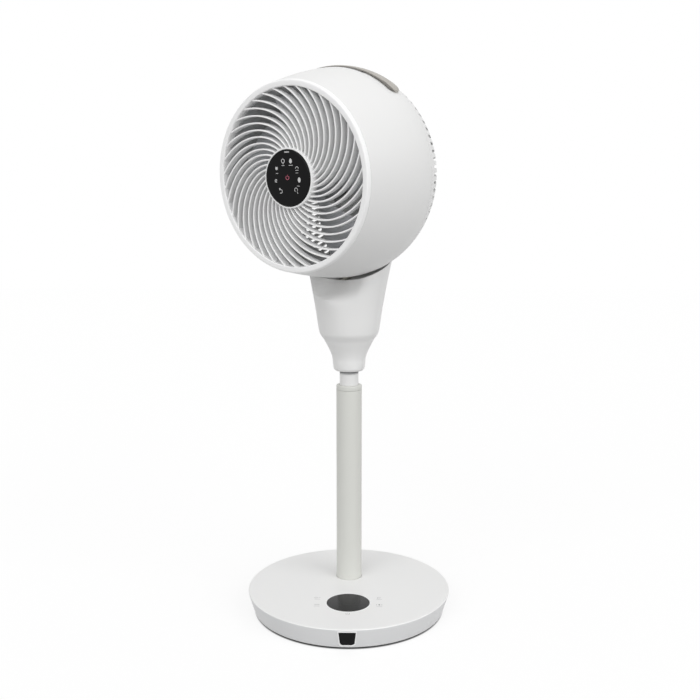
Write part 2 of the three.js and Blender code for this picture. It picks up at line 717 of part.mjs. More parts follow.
function neckRadius(z) {
  const outline = neckProfile(0);
  const above = outline.findIndex(([, height]) => height >= z);
  const [r0, z0] = outline[above - 1];
  const [r1, z1] = outline[above];
  return r0 + ((r1 - r0) * (z - z0)) / (z1 - z0);
}

// The scoop under the head's front: a squared ellipsoid.
function scoop(grow) {
  const geometry = new THREE.SphereGeometry(1, 24, 16);
  const place = geometry.attributes.position;
  const power = 2 / SCOOP_SQUARENESS;
  const bend = (v) => Math.sign(v) * Math.abs(v) ** power;
  for (let i = 0; i < place.count; i += 1) {
    place.setXYZ(
      i,
      bend(place.getX(i)) * (SCOOP_HALF_WIDTH + grow),
      place.getY(i) * (SCOOP_HALF_DEPTH + grow) - SCOOP_FORWARD,
      bend(place.getZ(i)) * (SCOOP_HALF_HEIGHT + grow) + neckLow + SCOOP_SILL_RISE + SCOOP_HALF_HEIGHT,
    );
  }
  return solidOf(geometry);
}

function cradleBall(radius) {
  const geometry = new THREE.SphereGeometry(radius, NECK_SEGMENTS, 24).rotateZ(Math.PI / 2);
  return solidOf(geometry.translate(0, -TILT_FORWARD, tiltZ));
}

function neckBody() {
  const outside = neckProfile(0);
  const top = outside[outside.length - 1][1];
  const inside = neckProfile(WALL).filter(([, z]) => z > neckLow + NECK_FLOOR_THICK);
  const floorR = neckRadius(neckLow + NECK_FLOOR_THICK) - WALL;
  const cradle = cradleBall(BALL_R + CRADLE_GAP);
  const outer = turned([
    [0, neckLow], [NECK_FOOT_R - NECK_FOOT_BEVEL, neckLow], ...outside, [0, top],
  ], NECK_SEGMENTS).subtract(cradle).subtract(scoop(0));
  const hollow = turned([
    [0, neckLow + NECK_FLOOR_THICK], [floorR, neckLow + NECK_FLOOR_THICK], ...inside, [0, top],
  ], NECK_SEGMENTS).subtract(cradleBall(BALL_R + CRADLE_GAP + WALL)).subtract(scoop(WALL));
  const bushR = JOURNAL_R + RUN_GAP + BUSH_WALL + SEAT_GAP;
  const bushHole = disc(bushR, neckLow - 1, neckLow + NECK_FLOOR_THICK + 1);
  return cutBy(outer, [hollow, bushHole, driveWindow()]);
}

// Half the angle, seen from the tilt axis, that the tilt gear's rim takes up where it
// crosses a ball of this radius.
function rimHalfAngle(radius) {
  const rim = tiltGearR + TRACK_MODULE;
  return Math.acos((gearReach ** 2 + radius ** 2 - rim ** 2) / (2 * gearReach * radius));
}

// The opening in the cradle for the tilt gear and the two cheeks beside it: where
// the gear's rim meets the inner face of the cradle.
function driveWindow() {
  const cradle = BALL_R + CRADLE_GAP + WALL;
  const half = rimHalfAngle(cradle);
  return box(
    [-SLOT_HALF_WIDTH, aroundTilt(cradle, CARRIER_ANGLE - half).y - RUN_GAP, gearAt.z],
    [SLOT_HALF_WIDTH, aroundTilt(cradle, CARRIER_ANGLE + half).y + RUN_GAP, tiltZ],
  );
}

function neckHalf(body, side) {
  const reach = BALL_R;
  const low = side < 0 ? -reach : SEAT_GAP / 2;
  const high = side < 0 ? -SEAT_GAP / 2 : reach;
  return body.intersect(box([-reach, low, 0], [reach, high, tiltZ]));
}

// One cheek beside the tilt gear, with the shoe on it that runs in the head's track.
function tiltCheek(side) {
  const inner = CHEEK_IN;
  const outer = CHEEK_IN + CHEEK_THICK;
  const foot = chassisLow + CHASSIS_THICK + SEAT_GAP;
  const waist = aroundTilt(SHOE_IN_R + SHOE_ROOT, CARRIER_ANGLE - SHOE_HALF_ANGLE);
  const heel = aroundTilt(SHOE_IN_R + SHOE_ROOT, CARRIER_ANGLE + SHOE_HALF_ANGLE);
  const plate = new THREE.Shape([
    [-waist.y, waist.z], [-heel.y, heel.z], [-gearAt.y - CHEEK_FOOT, foot], [-gearAt.y + CHEEK_FOOT, foot],
  ].map(([x, y]) => new THREE.Vector2(x, y)));
  const hole = new THREE.Path();
  hole.absarc(-gearAt.y, gearAt.z, TILT_AXLE_R + RUN_GAP, 0, 2 * Math.PI, true);
  plate.holes.push(hole);
  const shoe = new THREE.Shape();
  const middle = -Math.PI / 2 - CARRIER_ANGLE;
  shoe.absarc(TILT_FORWARD, tiltZ, SHOE_OUT_R, middle - SHOE_HALF_ANGLE, middle + SHOE_HALF_ANGLE, false);
  shoe.absarc(TILT_FORWARD, tiltZ, SHOE_IN_R, middle + SHOE_HALF_ANGLE, middle - SHOE_HALF_ANGLE, true);
  const [left, right] = side < 0 ? [-outer, -inner] : [inner, outer];
  const [tip, root] = side < 0 ? [-SHOE_TIP, -inner] : [inner, SHOE_TIP];
  return forwardFaced(plate, left, right).add(forwardFaced(shoe, tip, root, 2));
}

// Raised sideways in the neck, where forward is -Y.
function forwardFaced(shape, left, right, curveSegments = 8) {
  return raisedSideways(shape, left, right, curveSegments).rotate([90, 0, 0]);
}

function swingBush() {
  const bore = JOURNAL_R + RUN_GAP;
  return ring(bore, bore + BUSH_WALL, neckLow, neckLow + NECK_FLOOR_THICK);
}

function chassis() {
  const radius = neckRadius(chassisLow) - WALL - SEAT_GAP;
  const plate = disc(radius, chassisLow, chassisLow + CHASSIS_THICK, NECK_SEGMENTS);
  return plate.subtract(discAt(PINION_SHAFT_R + RUN_GAP, chassisLow - 1, motorLow, 0, -motorReach));
}

function buildNeck(group) {
  const body = neckBody();
  part(group, 'neck_front_shell', neckHalf(body, -1), white);
  part(group, 'neck_rear_shell', neckHalf(body, 1), white);
  part(group, 'swing_bush', swingBush(), nylon);
  part(group, 'neck_chassis', chassis(), darkGrey);
  const swingMotor = discAt(MOTOR_R, motorLow, motorLow + MOTOR_THICK, 0, -motorReach, ROUND_SEGMENTS);
  part(group, 'swing_motor', swingMotor, steel);
  part(group, 'tilt_cheek_left', tiltCheek(-1), nylon);
  part(group, 'tilt_cheek_right', tiltCheek(1), nylon);
  const face = CHEEK_IN + CHEEK_THICK + SEAT_GAP;
  const motor = rodAlongX(TILT_MOTOR_R, face, face + TILT_MOTOR_THICK, gearAt.y, gearAt.z, ROUND_SEGMENTS);
  part(group, 'tilt_motor', motor, steel);
}

// The two driven gears, each at the phase that puts it in mesh at rest.
function buildSwingPinion(group) {
  const mesh = Math.PI / PINION_TEETH;
  const gear = raised(gearShape(PINION_TEETH, SWING_MODULE, Math.PI / 2 + mesh), gearLow, gearTop);
  const shaft = disc(PINION_SHAFT_R, gearTop - 1, motorLow - SEAT_GAP, SMALL_SEGMENTS);
  part(group, 'swing_pinion', gear.add(shaft).translate(0, -motorReach, 0), nylon);
}

function buildTiltGear(group) {
  const half = TILT_GEAR_WIDTH / 2;
  const towardTrack = Math.PI / 2 - CARRIER_ANGLE;
  const phase = towardTrack + Math.PI / TILT_GEAR_TEETH;
  const gear = raisedSideways(gearShape(TILT_GEAR_TEETH, TRACK_MODULE, phase), -half, half);
  const end = CHEEK_IN + CHEEK_THICK;
  const axle = rodAlongX(TILT_AXLE_R, -end, end, 0, 0);
  const whole = gear.rotate([90, 0, 0]).add(axle).translate(0, gearAt.y, gearAt.z);
  part(group, 'tilt_gear', whole, nylon);
}

// ------------------------------------------------------------------ head shells

// The head is modelled about the tilt axis: forward is +Z, up is +Y.
const rimBack = RIM_FACE - RIM_DEPTH;
const TOP = Math.PI / 2;
const slotHalf = Math.max(SHOE_HALF_ANGLE, rimHalfAngle(BALL_R)) + SLOT_END_PLAY;
const slotFrom = CARRIER_ANGLE - TILT_DOWN - slotHalf;
const slotTo = CARRIER_ANGLE + TILT_UP + slotHalf;

// An arc round the tilt axis under the head, between two radii and two angles that
// count from straight down towards the back.
function underArc(inner, outer, from, to, half) {
  const shape = new THREE.Shape();
  shape.absarc(0, 0, outer, -Math.PI / 2 - to, -Math.PI / 2 - from, false);
  shape.absarc(0, 0, inner, -Math.PI / 2 - from, -Math.PI / 2 - to, true);
  return raisedSideways(shape, -half, half, ARC_STEPS);
}

function shellSlot() {
  return underArc(SHOE_IN_R, BALL_R + WALL, slotFrom, slotTo, SLOT_HALF_WIDTH);
}

function shellWell() {
  return sector(WELL_FLOOR_R, BALL_R + WALL, TOP, WELL_HALF_ANGLE, WELL_BACK, WELL_FRONT);
}

function frontShell() {
  const back = SHELL_SEAM + SEAT_GAP / 2;
  const front = rimBack - SEAT_GAP;
  const outside = headSkin(back, front, OUTER_RINGS);
  const inside = headSkin(back, front, INNER_RINGS, WALL).reverse();
  const shell = turned([...outside, ...inside, outside[0]], HEAD_SEGMENTS);
  return cutBy(shell, [shellSlot(), shellWell()]);
}

// Vents run along the ball towards its back, all round but for the handle's well
// and the tilt slot.
function ventCutters() {
  const step = (2 * Math.PI) / VENT_COUNT;
  const low = Math.sqrt(BALL_R ** 2 - VENT_TO ** 2) - VENT_REACH;
  const high = BALL_R + WALL;
  const cutters = [];
  for (let i = 0; i < VENT_COUNT; i += 1) {
    const angle = (i + 0.5) * step;
    const aside = Math.abs(low * Math.cos(angle));
    const overSlot = Math.sin(angle) < 0 && aside < TRACK_HALF_WIDTH + VENT_WIDTH;
    const overWell = Math.abs(angle - TOP) < WELL_HALF_ANGLE + step;
    if (overSlot || overWell) continue;
    const vent = new THREE.BoxGeometry(high - low, VENT_WIDTH, VENT_FROM - VENT_TO);
    vent.translate((high + low) / 2, 0, (VENT_FROM + VENT_TO) / 2).rotateZ(angle);
    cutters.push(solidOf(vent));
  }
  return cutters;
}

function rearShell() {
  const front = SHELL_SEAM - SEAT_GAP / 2;
  const outside = ballSkin(BALL_R, front, REAR_HOLE_R);
  const inside = ballSkin(BALL_R - WALL, front, REAR_HOLE_R).reverse();
  const shell = turned([...outside, ...inside, outside[0]], HEAD_SEGMENTS);
  return cutBy(shell, [shellSlot(), shellWell(), joined(ventCutters())]);
}

// All the room inside the two shells, less the gap to their walls.
function insideShells() {
  const inset = WALL + SEAT_GAP;
  const skin = [
    ...headSkin(SHELL_SEAM + SEAT_GAP / 2, rimBack - SEAT_GAP, INNER_RINGS, inset).reverse(),
    ...ballSkin(BALL_R - inset, SHELL_SEAM - SEAT_GAP / 2, REAR_HOLE_R),
  ];
  return turned([[0, skin[0][1]], ...skin, [0, skin[skin.length - 1][1]]], HEAD_SEGMENTS);
}

// The cap fills the shell's round hole, and its lip lies behind the hole's edge.
function rearCap() {
  const face = -Math.sqrt(BALL_R ** 2 - REAR_HOLE_R ** 2) + REAR_CAP_SUNK;
  const lipFront = face + REAR_CAP_THICK + REAR_CAP_LIP;
  const inHole = REAR_HOLE_R - 2 * SEAT_GAP;
  const step = REAR_HOLE_R - REAR_CAP_LIP;
  const lip = ring(step, REAR_HOLE_R + REAR_CAP_LIP, face, lipFront, HEAD_SEGMENTS).intersect(insideShells());
  const plate = disc(inHole, face, face + REAR_CAP_THICK, HEAD_SEGMENTS);
  return joined([plate, ring(step, inHole, face, lipFront, HEAD_SEGMENTS), lip]);
}

// --------------------------------------------------------------- handle and well

const wellPlay = SEAT_GAP / WELL_FLOOR_R;
const wellInside = WELL_HALF_ANGLE - wellPlay - WELL_WALL / WELL_FLOOR_R;

function handleWell() {
  const back = WELL_BACK + SEAT_GAP;
  const front = WELL_FRONT - SEAT_GAP;
  const block = sector(WELL_FLOOR_R, BALL_R + WALL, TOP, WELL_HALF_ANGLE - wellPlay, back, front);
  const hollow = sector(
    WELL_FLOOR_R + WELL_WALL, BALL_R + 2 * WALL, TOP, wellInside, back + WELL_WALL, front - WELL_WALL,
  );
  return block.intersect(underSkin(back - 1, front + 1, 5)).subtract(hollow);
}

// A strap over the well with round ends that lie on the shell.
function carryHandle() {
  const halfWidth = (HANDLE_FRONT - HANDLE_BACK) / 2;
  const roundAngle = halfWidth / BALL_R;
  const reach = BALL_R + 2 * HANDLE_PROUD;
  const low = BALL_R - 2 * HANDLE_THICK;
  const end = (side) => new THREE.CylinderGeometry(halfWidth, halfWidth, reach - low, ROUND_SEGMENTS)
    .translate(0, (reach + low) / 2, (HANDLE_FRONT + HANDLE_BACK) / 2)
    .rotateZ(side * (HANDLE_HALF_ANGLE - roundAngle));
  const plan = joined([
    sector(low, reach, TOP, HANDLE_HALF_ANGLE - roundAngle, HANDLE_BACK, HANDLE_FRONT, 10),
    solidOf(end(-1)), solidOf(end(1)),
  ]);
  const under = (inset) => underSkin(HANDLE_BACK - 1, HANDLE_FRONT + 1, 2, inset);
  const strap = plan.intersect(under(-HANDLE_PROUD)).subtract(under(-SEAT_GAP));
  const bridge = sector(low, reach, TOP, wellInside - wellPlay, HANDLE_BACK, HANDLE_FRONT)
    .intersect(under(-HANDLE_PROUD)).subtract(under(HANDLE_THICK - HANDLE_PROUD));
  return strap.add(bridge);
}

// ------------------------------------------------------------------- tilt track

// A channel behind the slot for the cheeks' shoes, with the gear teeth in its floor.
function tiltTrack() {
  const step = (2 * Math.PI) / TRACK_TEETH;
  const atRest = CARRIER_ANGLE - HEAD_DROOP;
  const floorTop = trackR - TOOTH_ROOT * TRACK_MODULE;
  const floorLow = floorTop - TRACK_FLOOR_THICK;
  const block = underArc(floorLow, BALL_R, slotFrom, slotTo, TRACK_HALF_WIDTH).intersect(insideShells());
  const inner = TRACK_HALF_WIDTH - TRACK_WALL;
  const channel = underArc(floorTop, BALL_R + 1, slotFrom - DEG, slotTo + DEG, inner);
  const first = Math.ceil((slotFrom - atRest) / step + 0.5);
  const last = Math.floor((slotTo - atRest) / step - 0.5);
  const teeth = [];
  for (let i = first; i <= last; i += 1) {
    const tooth = toothPoints(trackR, TRACK_MODULE, -Math.PI / 2 - atRest - i * step, step);
    const root = floorTop - TRACK_FLOOR_THICK / 2;
    const foot = [tooth[3], tooth[0]].map((p) => p.clone().setLength(root));
    teeth.push(raisedSideways(new THREE.Shape([...tooth, ...foot]), -TRACK_TOOTH_HALF, TRACK_TOOTH_HALF));
  }
  return joined([block.subtract(channel), ...teeth]);
}

// --------------------------------------------------------------- front grille

const hubRecess = REMOTE_R + SEAT_GAP;
const remoteDepth = REMOTE_FACE_THICK + REMOTE_BOARD_THICK + CELL_THICK + DOOR_THICK + 3 * SEAT_GAP;
const remoteBack = REMOTE_FACE - remoteDepth;

// One blade of the grille sweeps outwards at a steady rate from the hub to the rim.
function grilleRib(turn) {
  const from = HUB_R - RIB_BURIED;
  const to = OPENING_R + RIB_BURIED;
  const steps = 5;
  const edge = (side) => Array.from({ length: steps + 1 }, (_, i) => {
    const radius = from + ((to - from) * i) / steps;
    const angle = turn + (RIB_SWEEP * i) / steps;
    const lean = Math.atan2(radius * RIB_SWEEP, to - from);
    const at = new THREE.Vector2(radius, 0);
    at.add(new THREE.Vector2(-Math.sin(lean), Math.cos(lean)).multiplyScalar((side * RIB_THICK) / 2));
    return at.rotateAround(new THREE.Vector2(), angle);
  });
  const face = RIM_FACE - RIB_SET_BACK;
  return raised(new THREE.Shape([...edge(-1), ...edge(1).reverse()]), face - RIB_DEPTH, face);
}

function grilleRim() {
  const back = rimBack - RIM_SKIRT;
  const inShell = (along) => headRadius(along) - WALL * SLANT_SHARE - SEAT_GAP;
  return turned([
    [OPENING_R, back], [inShell(back), back], [inShell(rimBack), rimBack], [headRadius(rimBack), rimBack],
    [headRadius(RIM_FACE - RIM_EDGE), RIM_FACE - RIM_EDGE], [RIM_R - RIM_EDGE, RIM_FACE],
    [OPENING_R, RIM_FACE], [OPENING_R, back],
  ], HEAD_SEGMENTS);
}

function grilleHub() {
  const floorTop = remoteBack - SEAT_GAP;
  const floorLow = floorTop - HUB_FLOOR_THICK;
  return turned([
    [0, floorLow], [hubRecess, floorLow], [hubRecess, HUB_BACK], [HUB_R, HUB_BACK],
    [HUB_R, HUB_FACE - HUB_EDGE], [HUB_R - HUB_EDGE, HUB_FACE], [hubRecess, HUB_FACE],
    [hubRecess, floorTop], [0, floorTop],
  ], NECK_SEGMENTS);
}

function frontGrille() {
  const step = (2 * Math.PI) / RIB_COUNT;
  const ribs = Array.from({ length: RIB_COUNT }, (_, i) => grilleRib(i * step));
  return joined([grilleRim(), grilleHub(), ...ribs]);
}

// ------------------------------------------------------------- duct and motor

const ductFront = rimBack - RIM_SKIRT - SEAT_GAP;
const caseHold = CASE_R + SEAT_GAP;
const caseFloor = CASE_BACK + CASE_WALL;
const bearingRear = caseFloor + SEAT_GAP;
const tubeFront = bearingRear + BEARING_SPAN;
const bearingFront = tubeFront - BEARING_WIDTH;
const rotorBack = tubeFront + SEAT_GAP + RUN_GAP;
const rotorFront = rotorBack + ROTOR_BOSS;
const impellerSeat = rotorFront + SEAT_GAP;
const lipBack = CASE_BACK - SEAT_GAP - DUCT_LIP_THICK;

function ductFrame() {
  const outer = DUCT_R + DUCT_WALL;
  const flangeBack = ductFront - DUCT_FLANGE_THICK;
  const flange = (along) => headRadius(along) - WALL * SLANT_SHARE - SEAT_GAP;
  const duct = turned([
    [DUCT_R, DUCT_BACK], [outer, DUCT_BACK], [outer, flangeBack], [flange(flangeBack), flangeBack],
    [flange(ductFront), ductFront], [DUCT_R, ductFront], [DUCT_R, DUCT_BACK],
  ], HEAD_SEGMENTS);
  const lipR = caseHold - DUCT_LIP;
  const hold = turned([
    [lipR, lipBack], [caseHold + DUCT_WALL, lipBack], [caseHold + DUCT_WALL, DUCT_BACK + ARM_DEPTH],
    [caseHold, DUCT_BACK + ARM_DEPTH], [caseHold, CASE_BACK - SEAT_GAP],
    [lipR, CASE_BACK - SEAT_GAP], [lipR, lipBack],
  ]);
  const arms = Array.from({ length: ARM_COUNT }, (_, i) => {
    const arm = box(
      [caseHold + DUCT_WALL / 2, -ARM_THICK / 2, DUCT_BACK],
      [DUCT_R + DUCT_WALL / 2, ARM_THICK / 2, DUCT_BACK + ARM_DEPTH],
    );
    return arm.rotate([0, 0, ((i + 0.5) * 360) / ARM_COUNT]);
  });
  return joined([duct, hold, ...arms]);
}

function motorCase() {
  const tube = BEARING_R + SEAT_GAP;
  return turned([
    [0, CASE_BACK], [CASE_R, CASE_BACK], [CASE_R, CASE_FRONT], [CASE_R - CASE_WALL, CASE_FRONT],
    [CASE_R - CASE_WALL, caseFloor], [tube + TUBE_WALL, caseFloor], [tube + TUBE_WALL, tubeFront],
    [tube, tubeFront], [tube, caseFloor], [0, caseFloor],
  ]);
}

function rotorCup() {
  const bore = SHAFT_R + SEAT_GAP;
  const inner = STATOR_R + ROTOR_GAP;
  const outer = inner + ROTOR_WALL;
  const disc = rotorFront - ROTOR_WALL;
  return turned([
    [bore, rotorBack], [SHAFT_BOSS_R, rotorBack], [SHAFT_BOSS_R, disc], [inner, disc],
    [inner, caseFloor + ROTOR_END_GAP], [outer, caseFloor + ROTOR_END_GAP], [outer, rotorFront],
    [bore, rotorFront], [bore, rotorBack],
  ]);
}

function buildMotor(group) {
  part(group, 'motor_case', motorCase(), steel);
  const tube = BEARING_R + SEAT_GAP + TUBE_WALL + SEAT_GAP;
  const stator = ring(tube, STATOR_R, caseFloor + SEAT_GAP + STATOR_RAISE, tubeFront - STATOR_SHORT);
  part(group, 'stator_core', stator, iron);
  const bearing = (from) => ring(SHAFT_R + SEAT_GAP, BEARING_R, from, from + BEARING_WIDTH);
  part(group, 'bearing_front', bearing(bearingFront), steel);
  part(group, 'bearing_rear', bearing(bearingRear), steel);
  const boardBack = lipBack - SEAT_GAP - BOARD_THICK;
  part(group, 'driver_board', disc(CASE_R, boardBack, boardBack + BOARD_THICK), boardGreen);
}

// -------------------------------------------------------------------- impeller

// A blade wraps round the hub from the intake side to the front, thickest along the
// middle of its chord and pinched shut at its root and its tip.
function impellerBlade(turn) {
  const steps = 7;
  const middle = (IMPELLER_BACK + IMPELLER_FRONT) / 2;
  const surface = (u, v, target) => {
    const out = Math.min(1, Math.max(0, (v * steps - 1) / (steps - 2)));
    const radius = IMPELLER_HUB_R - 1 + (IMPELLER_R - IMPELLER_HUB_R + 1) * out;
    const chord = Math.cos(2 * Math.PI * u);
    const closed = v === 0 || v === 1 ? 0 : 1;
    const thick = ((closed * BLADE_THICK) / 2) * Math.sin(2 * Math.PI * u);
    const wrap = THREE.MathUtils.lerp(BLADE_WRAP_ROOT, BLADE_WRAP_TIP, out);
    const angle = turn + BLADE_LEAN * out + chord * wrap;
    const depth = THREE.MathUtils.lerp(BLADE_DEPTH_ROOT, BLADE_DEPTH_TIP, out) / 2;
    target.set(radius * Math.cos(angle), radius * Math.sin(angle), middle + chord * depth + thick);
  };
  return solidOf(new ParametricGeometry(surface, 8, steps));
}

function impeller() {
  const bore = SHAFT_R + SEAT_GAP;
  const inner = IMPELLER_HUB_R - WALL;
  const wallBack = IMPELLER_FRONT - HUB_FLOOR_THICK;
  const hub = turned([
    [bore, impellerSeat], [SHAFT_BOSS_R, impellerSeat], [SHAFT_BOSS_R, wallBack], [inner, wallBack],
    [inner, IMPELLER_BACK], [IMPELLER_HUB_R, IMPELLER_BACK],
    [IMPELLER_HUB_R, IMPELLER_FRONT - IMPELLER_NOSE], [IMPELLER_HUB_R - IMPELLER_NOSE, IMPELLER_FRONT],
    [bore, IMPELLER_FRONT], [bore, impellerSeat],
  ]);
  const step = (2 * Math.PI) / BLADE_COUNT;
  const blades = Array.from({ length: BLADE_COUNT }, (_, i) => impellerBlade(i * step));
  return joined([hub, ...blades]);
}

function buildFan(group) {
  part(group, 'impeller', impeller(), white);
  part(group, 'rotor_cup', rotorCup(), steel);
  const nutBack = IMPELLER_FRONT + SEAT_GAP;
  const nutFront = nutBack + SPINNER_NUT_THICK;
  part(group, 'motor_shaft', disc(SHAFT_R, bearingRear, nutFront + 1, SMALL_SEGMENTS), steel);
  part(group, 'spinner_nut', hexagon(SPINNER_NUT_R, nutBack, nutFront, SHAFT_R + SEAT_GAP), darkGrey);
}

// ---------------------------------------------------------------------- remote

function buildRemote(group) {
  const caseTop = REMOTE_FACE - REMOTE_FACE_THICK - SEAT_GAP;
  const boardLow = caseTop - REMOTE_BOARD_THICK;
  const cellLow = boardLow - SEAT_GAP - CELL_THICK;
  const inner = REMOTE_R - REMOTE_WALL;
  const doorHole = DOOR_R + SEAT_GAP;
  part(group, 'remote_case', turned([
    [doorHole, remoteBack], [REMOTE_R - REMOTE_BACK_EDGE, remoteBack],
    [REMOTE_R, remoteBack + REMOTE_BACK_EDGE], [REMOTE_R, caseTop],
    [inner, caseTop], [inner, remoteBack + REMOTE_WALL], [doorHole, remoteBack + REMOTE_WALL],
    [doorHole, remoteBack],
  ], NECK_SEGMENTS), white);
  const face = [
    [0, caseTop + SEAT_GAP], [REMOTE_R, caseTop + SEAT_GAP], [REMOTE_R, REMOTE_FACE - REMOTE_EDGE],
    [REMOTE_R - ROUND_MIDDLE * REMOTE_EDGE, REMOTE_FACE - ROUND_MIDDLE * REMOTE_EDGE],
    [REMOTE_R - REMOTE_EDGE, REMOTE_FACE], [0, REMOTE_FACE],
  ];
  part(group, 'remote_face', turned(face, NECK_SEGMENTS), black);
  part(group, 'remote_board', disc(inner - SEAT_GAP, boardLow, caseTop), boardGreen);
  part(group, 'remote_cell', disc(CELL_R, cellLow, cellLow + CELL_THICK), steel);
  part(group, 'battery_door', disc(DOOR_R, remoteBack, remoteBack + DOOR_THICK), white);
}

// -------------------------------------------------------------------- assembly

function buildHead(group) {
  part(group, 'front_shell', frontShell(), white);
  part(group, 'rear_shell', rearShell(), white);
  part(group, 'front_grille', frontGrille(), white);
  part(group, 'rear_cap', rearCap(), white);
  part(group, 'handle_well', handleWell(), innerGrey);
  part(group, 'carry_handle', carryHandle(), taupe);
  part(group, 'tilt_track', tiltTrack(), nylon);
  part(group, 'duct_frame', ductFrame(), innerGrey);
  const magnetFront = remoteBack - 2 * SEAT_GAP - HUB_FLOOR_THICK;
  part(group, 'dock_magnet', disc(MAGNET_R, magnetFront - MAGNET_THICK, magnetFront), steel);
  buildMotor(group);
  buildFan(group);
  buildRemote(group);
}

function pedestalFan() {
  const fan = new THREE.Group();
  buildBase(fan);
  const pole = new THREE.Group();
  pole.position.y = POLE_BACK;
  buildPole(pole);
  buildSlidingPole(pole);
  fan.add(pole);

  const swing = new THREE.Group();
  swing.rotation.z = HEAD_TURN;
  buildNeck(swing);
  buildSwingPinion(swing);
  buildTiltGear(swing);
  pole.add(swing);

  const head = new THREE.Group();
  head.position.set(0, -TILT_FORWARD, tiltZ);
  head.rotation.x = Math.PI / 2 + HEAD_DROOP;
  buildHead(head);
  swing.add(head);
  return fan;
}

export default pedestalFan();
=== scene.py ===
"""Dresses the pedestal air circulator: fine moulded shells, spiral grille, impeller, pole, base and remote
control over the fixed CAD frame, with procedural finishes, a pale floor and soft studio light.

Sizes in this file are millimetres until a mesh is made. Three places of work are used: the base (origin on the
floor), the neck (on the pole's axis, front towards -Y, turned with the swing), and the head (about the tilt
axis, X across, Y up, Z forward along the fan's axis).
"""

import json
import math

import bmesh
import bpy
import numpy as np
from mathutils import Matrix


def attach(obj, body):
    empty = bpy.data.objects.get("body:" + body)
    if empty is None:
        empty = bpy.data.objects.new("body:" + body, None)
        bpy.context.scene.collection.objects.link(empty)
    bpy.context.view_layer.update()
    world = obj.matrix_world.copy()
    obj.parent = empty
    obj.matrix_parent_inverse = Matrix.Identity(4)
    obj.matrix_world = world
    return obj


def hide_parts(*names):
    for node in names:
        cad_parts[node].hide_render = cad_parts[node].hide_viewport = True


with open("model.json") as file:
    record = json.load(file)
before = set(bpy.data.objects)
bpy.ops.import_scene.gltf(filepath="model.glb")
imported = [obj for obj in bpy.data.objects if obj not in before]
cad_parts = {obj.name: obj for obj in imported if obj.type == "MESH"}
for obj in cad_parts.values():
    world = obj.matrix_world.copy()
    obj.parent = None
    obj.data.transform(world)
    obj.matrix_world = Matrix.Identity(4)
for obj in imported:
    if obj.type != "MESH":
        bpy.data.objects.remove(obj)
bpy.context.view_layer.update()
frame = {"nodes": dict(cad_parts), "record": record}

MM = 0.001
TAU = 2 * math.pi

# ------------------------------------------------------------------ sizes of the object

BASE_TOP_R = 164.8
BASE_FOOT_R = 154.5
BASE_TOP_Z = 35.0
BASE_LOW_Z = 2.8
COVER_CEILING = 31.8
SIDE_FROM_R = 150.0
FOOT_COUNT = 5
FOOT_CIRCLE_R = 132.0
INLET_HALF_WIDTH = 7.8
INLET_LOW, INLET_HIGH = 10.8, 23.4
INLET_SILL = 11.1
DISPLAY_FORWARD = 67.5
DISPLAY_R = 33.8
POLE_BACK = 42.0
OUTER_POLE_R = 21.0
OUTER_POLE_BORE = 19.5
OUTER_POLE_LOW, OUTER_POLE_TOP = 16.4, 355.5
INNER_POLE_R = 15.5
INNER_POLE_BORE = 14.0
INNER_POLE_LOW, INNER_POLE_TOP = 180.0, 382.5
COLLAR_BORE = 15.8
COLLAR_SLEEVE_R = 19.2
COLLAR_LOW, COLLAR_SEAT, COLLAR_TOP = 319.8, 355.8, 363.8
NECK_LOW = 387.6
NECK_FLOOR = 12.0
BUSH_R = 13.7
NECK_SEAM = 0.08
CRADLE_GAP = 2.5
SCOOP_HALF_WIDTH, SCOOP_REACH, SCOOP_HALF_HEIGHT = 61.5, 55.0, 48.5
SCOOP_Y, SCOOP_Z = -75.0, 556.0
DRIVE_FRONT, DRIVE_REAR, DRIVE_LOW = -18.5, 42.5, 528.9
HEAD_TURN = math.radians(-35.2)
HEAD_DROOP = math.radians(4.4)
TILT_FORWARD = 50.7
TILT_Z = 703.2
BALL_R = 166.5
DRUM_R = 164.5
DRUM_START = -26.0
DRUM_CURVE = 1.46
SHOULDER = 3.0
WALL = 2.5
RIM_FACE = 99.7
RIM_BACK = 93.0
RIM_R = 140.4
OPENING_R = 132.0
SEAM = -40.0
REAR_EASE = 1.4
REAR_HOLE_R = 52.0
SLOT_HALF_WIDTH = 11.0
SLOT_START, SLOT_END = math.radians(0.84), math.radians(68.16)
SLOT_INNER_R, SLOT_OUTER_R = 155.0, 169.0
WELL_HALF_ANGLE = math.radians(24)
WELL_FRONT, WELL_BACK = -6.0, -66.0
WELL_FLOOR_R = 138.0
HANDLE_FRONT, HANDLE_BACK = -10.0, -34.0
HANDLE_HALF_ANGLE = math.radians(44.4)
HANDLE_PROUD = 2.3
HANDLE_END_PROUD = 5.8
RIB_COUNT = 38
RIB_SWEEP = math.radians(63)
HUB_R = 44.4
HUB_FACE = 102.0
REMOTE_R = 41.7
REMOTE_FACE = 104.0
REMOTE_BACK = 93.7
VENT_COUNT = 84
VENT_HALF_WIDTH = 2.5
VENT_FRONT, VENT_BACK = -52.0, -122.0
SEAM_GAP = 0.15
RIB_ROOT_R = 43.4
RIB_HALF = 1.3
RIB_DEPTH = 12.0
DUCT_R = 131.0
ARM_COUNT = 6
ARM_ROOT_R, ARM_END_R, ARM_Z = 37.3, 132.0, -17.0
BLADE_COUNT = 5
BLADE_ROOT_R, BLADE_TIP_R = 39.0, 125.0
BLADE_Z = 44.0


# ------------------------------------------------------------------ from a place of work to the row frame


def in_base(points):
    """The base's own frame is the row frame."""
    return np.asarray(points, float) * MM


def in_neck(points):
    """Turns about the pole's axis by the rest swing."""
    x, y, z = np.asarray(points, float).T
    c, s = math.cos(HEAD_TURN), math.sin(HEAD_TURN)
    return np.stack([c * x - s * y, s * x + c * y + POLE_BACK, z], -1) * MM


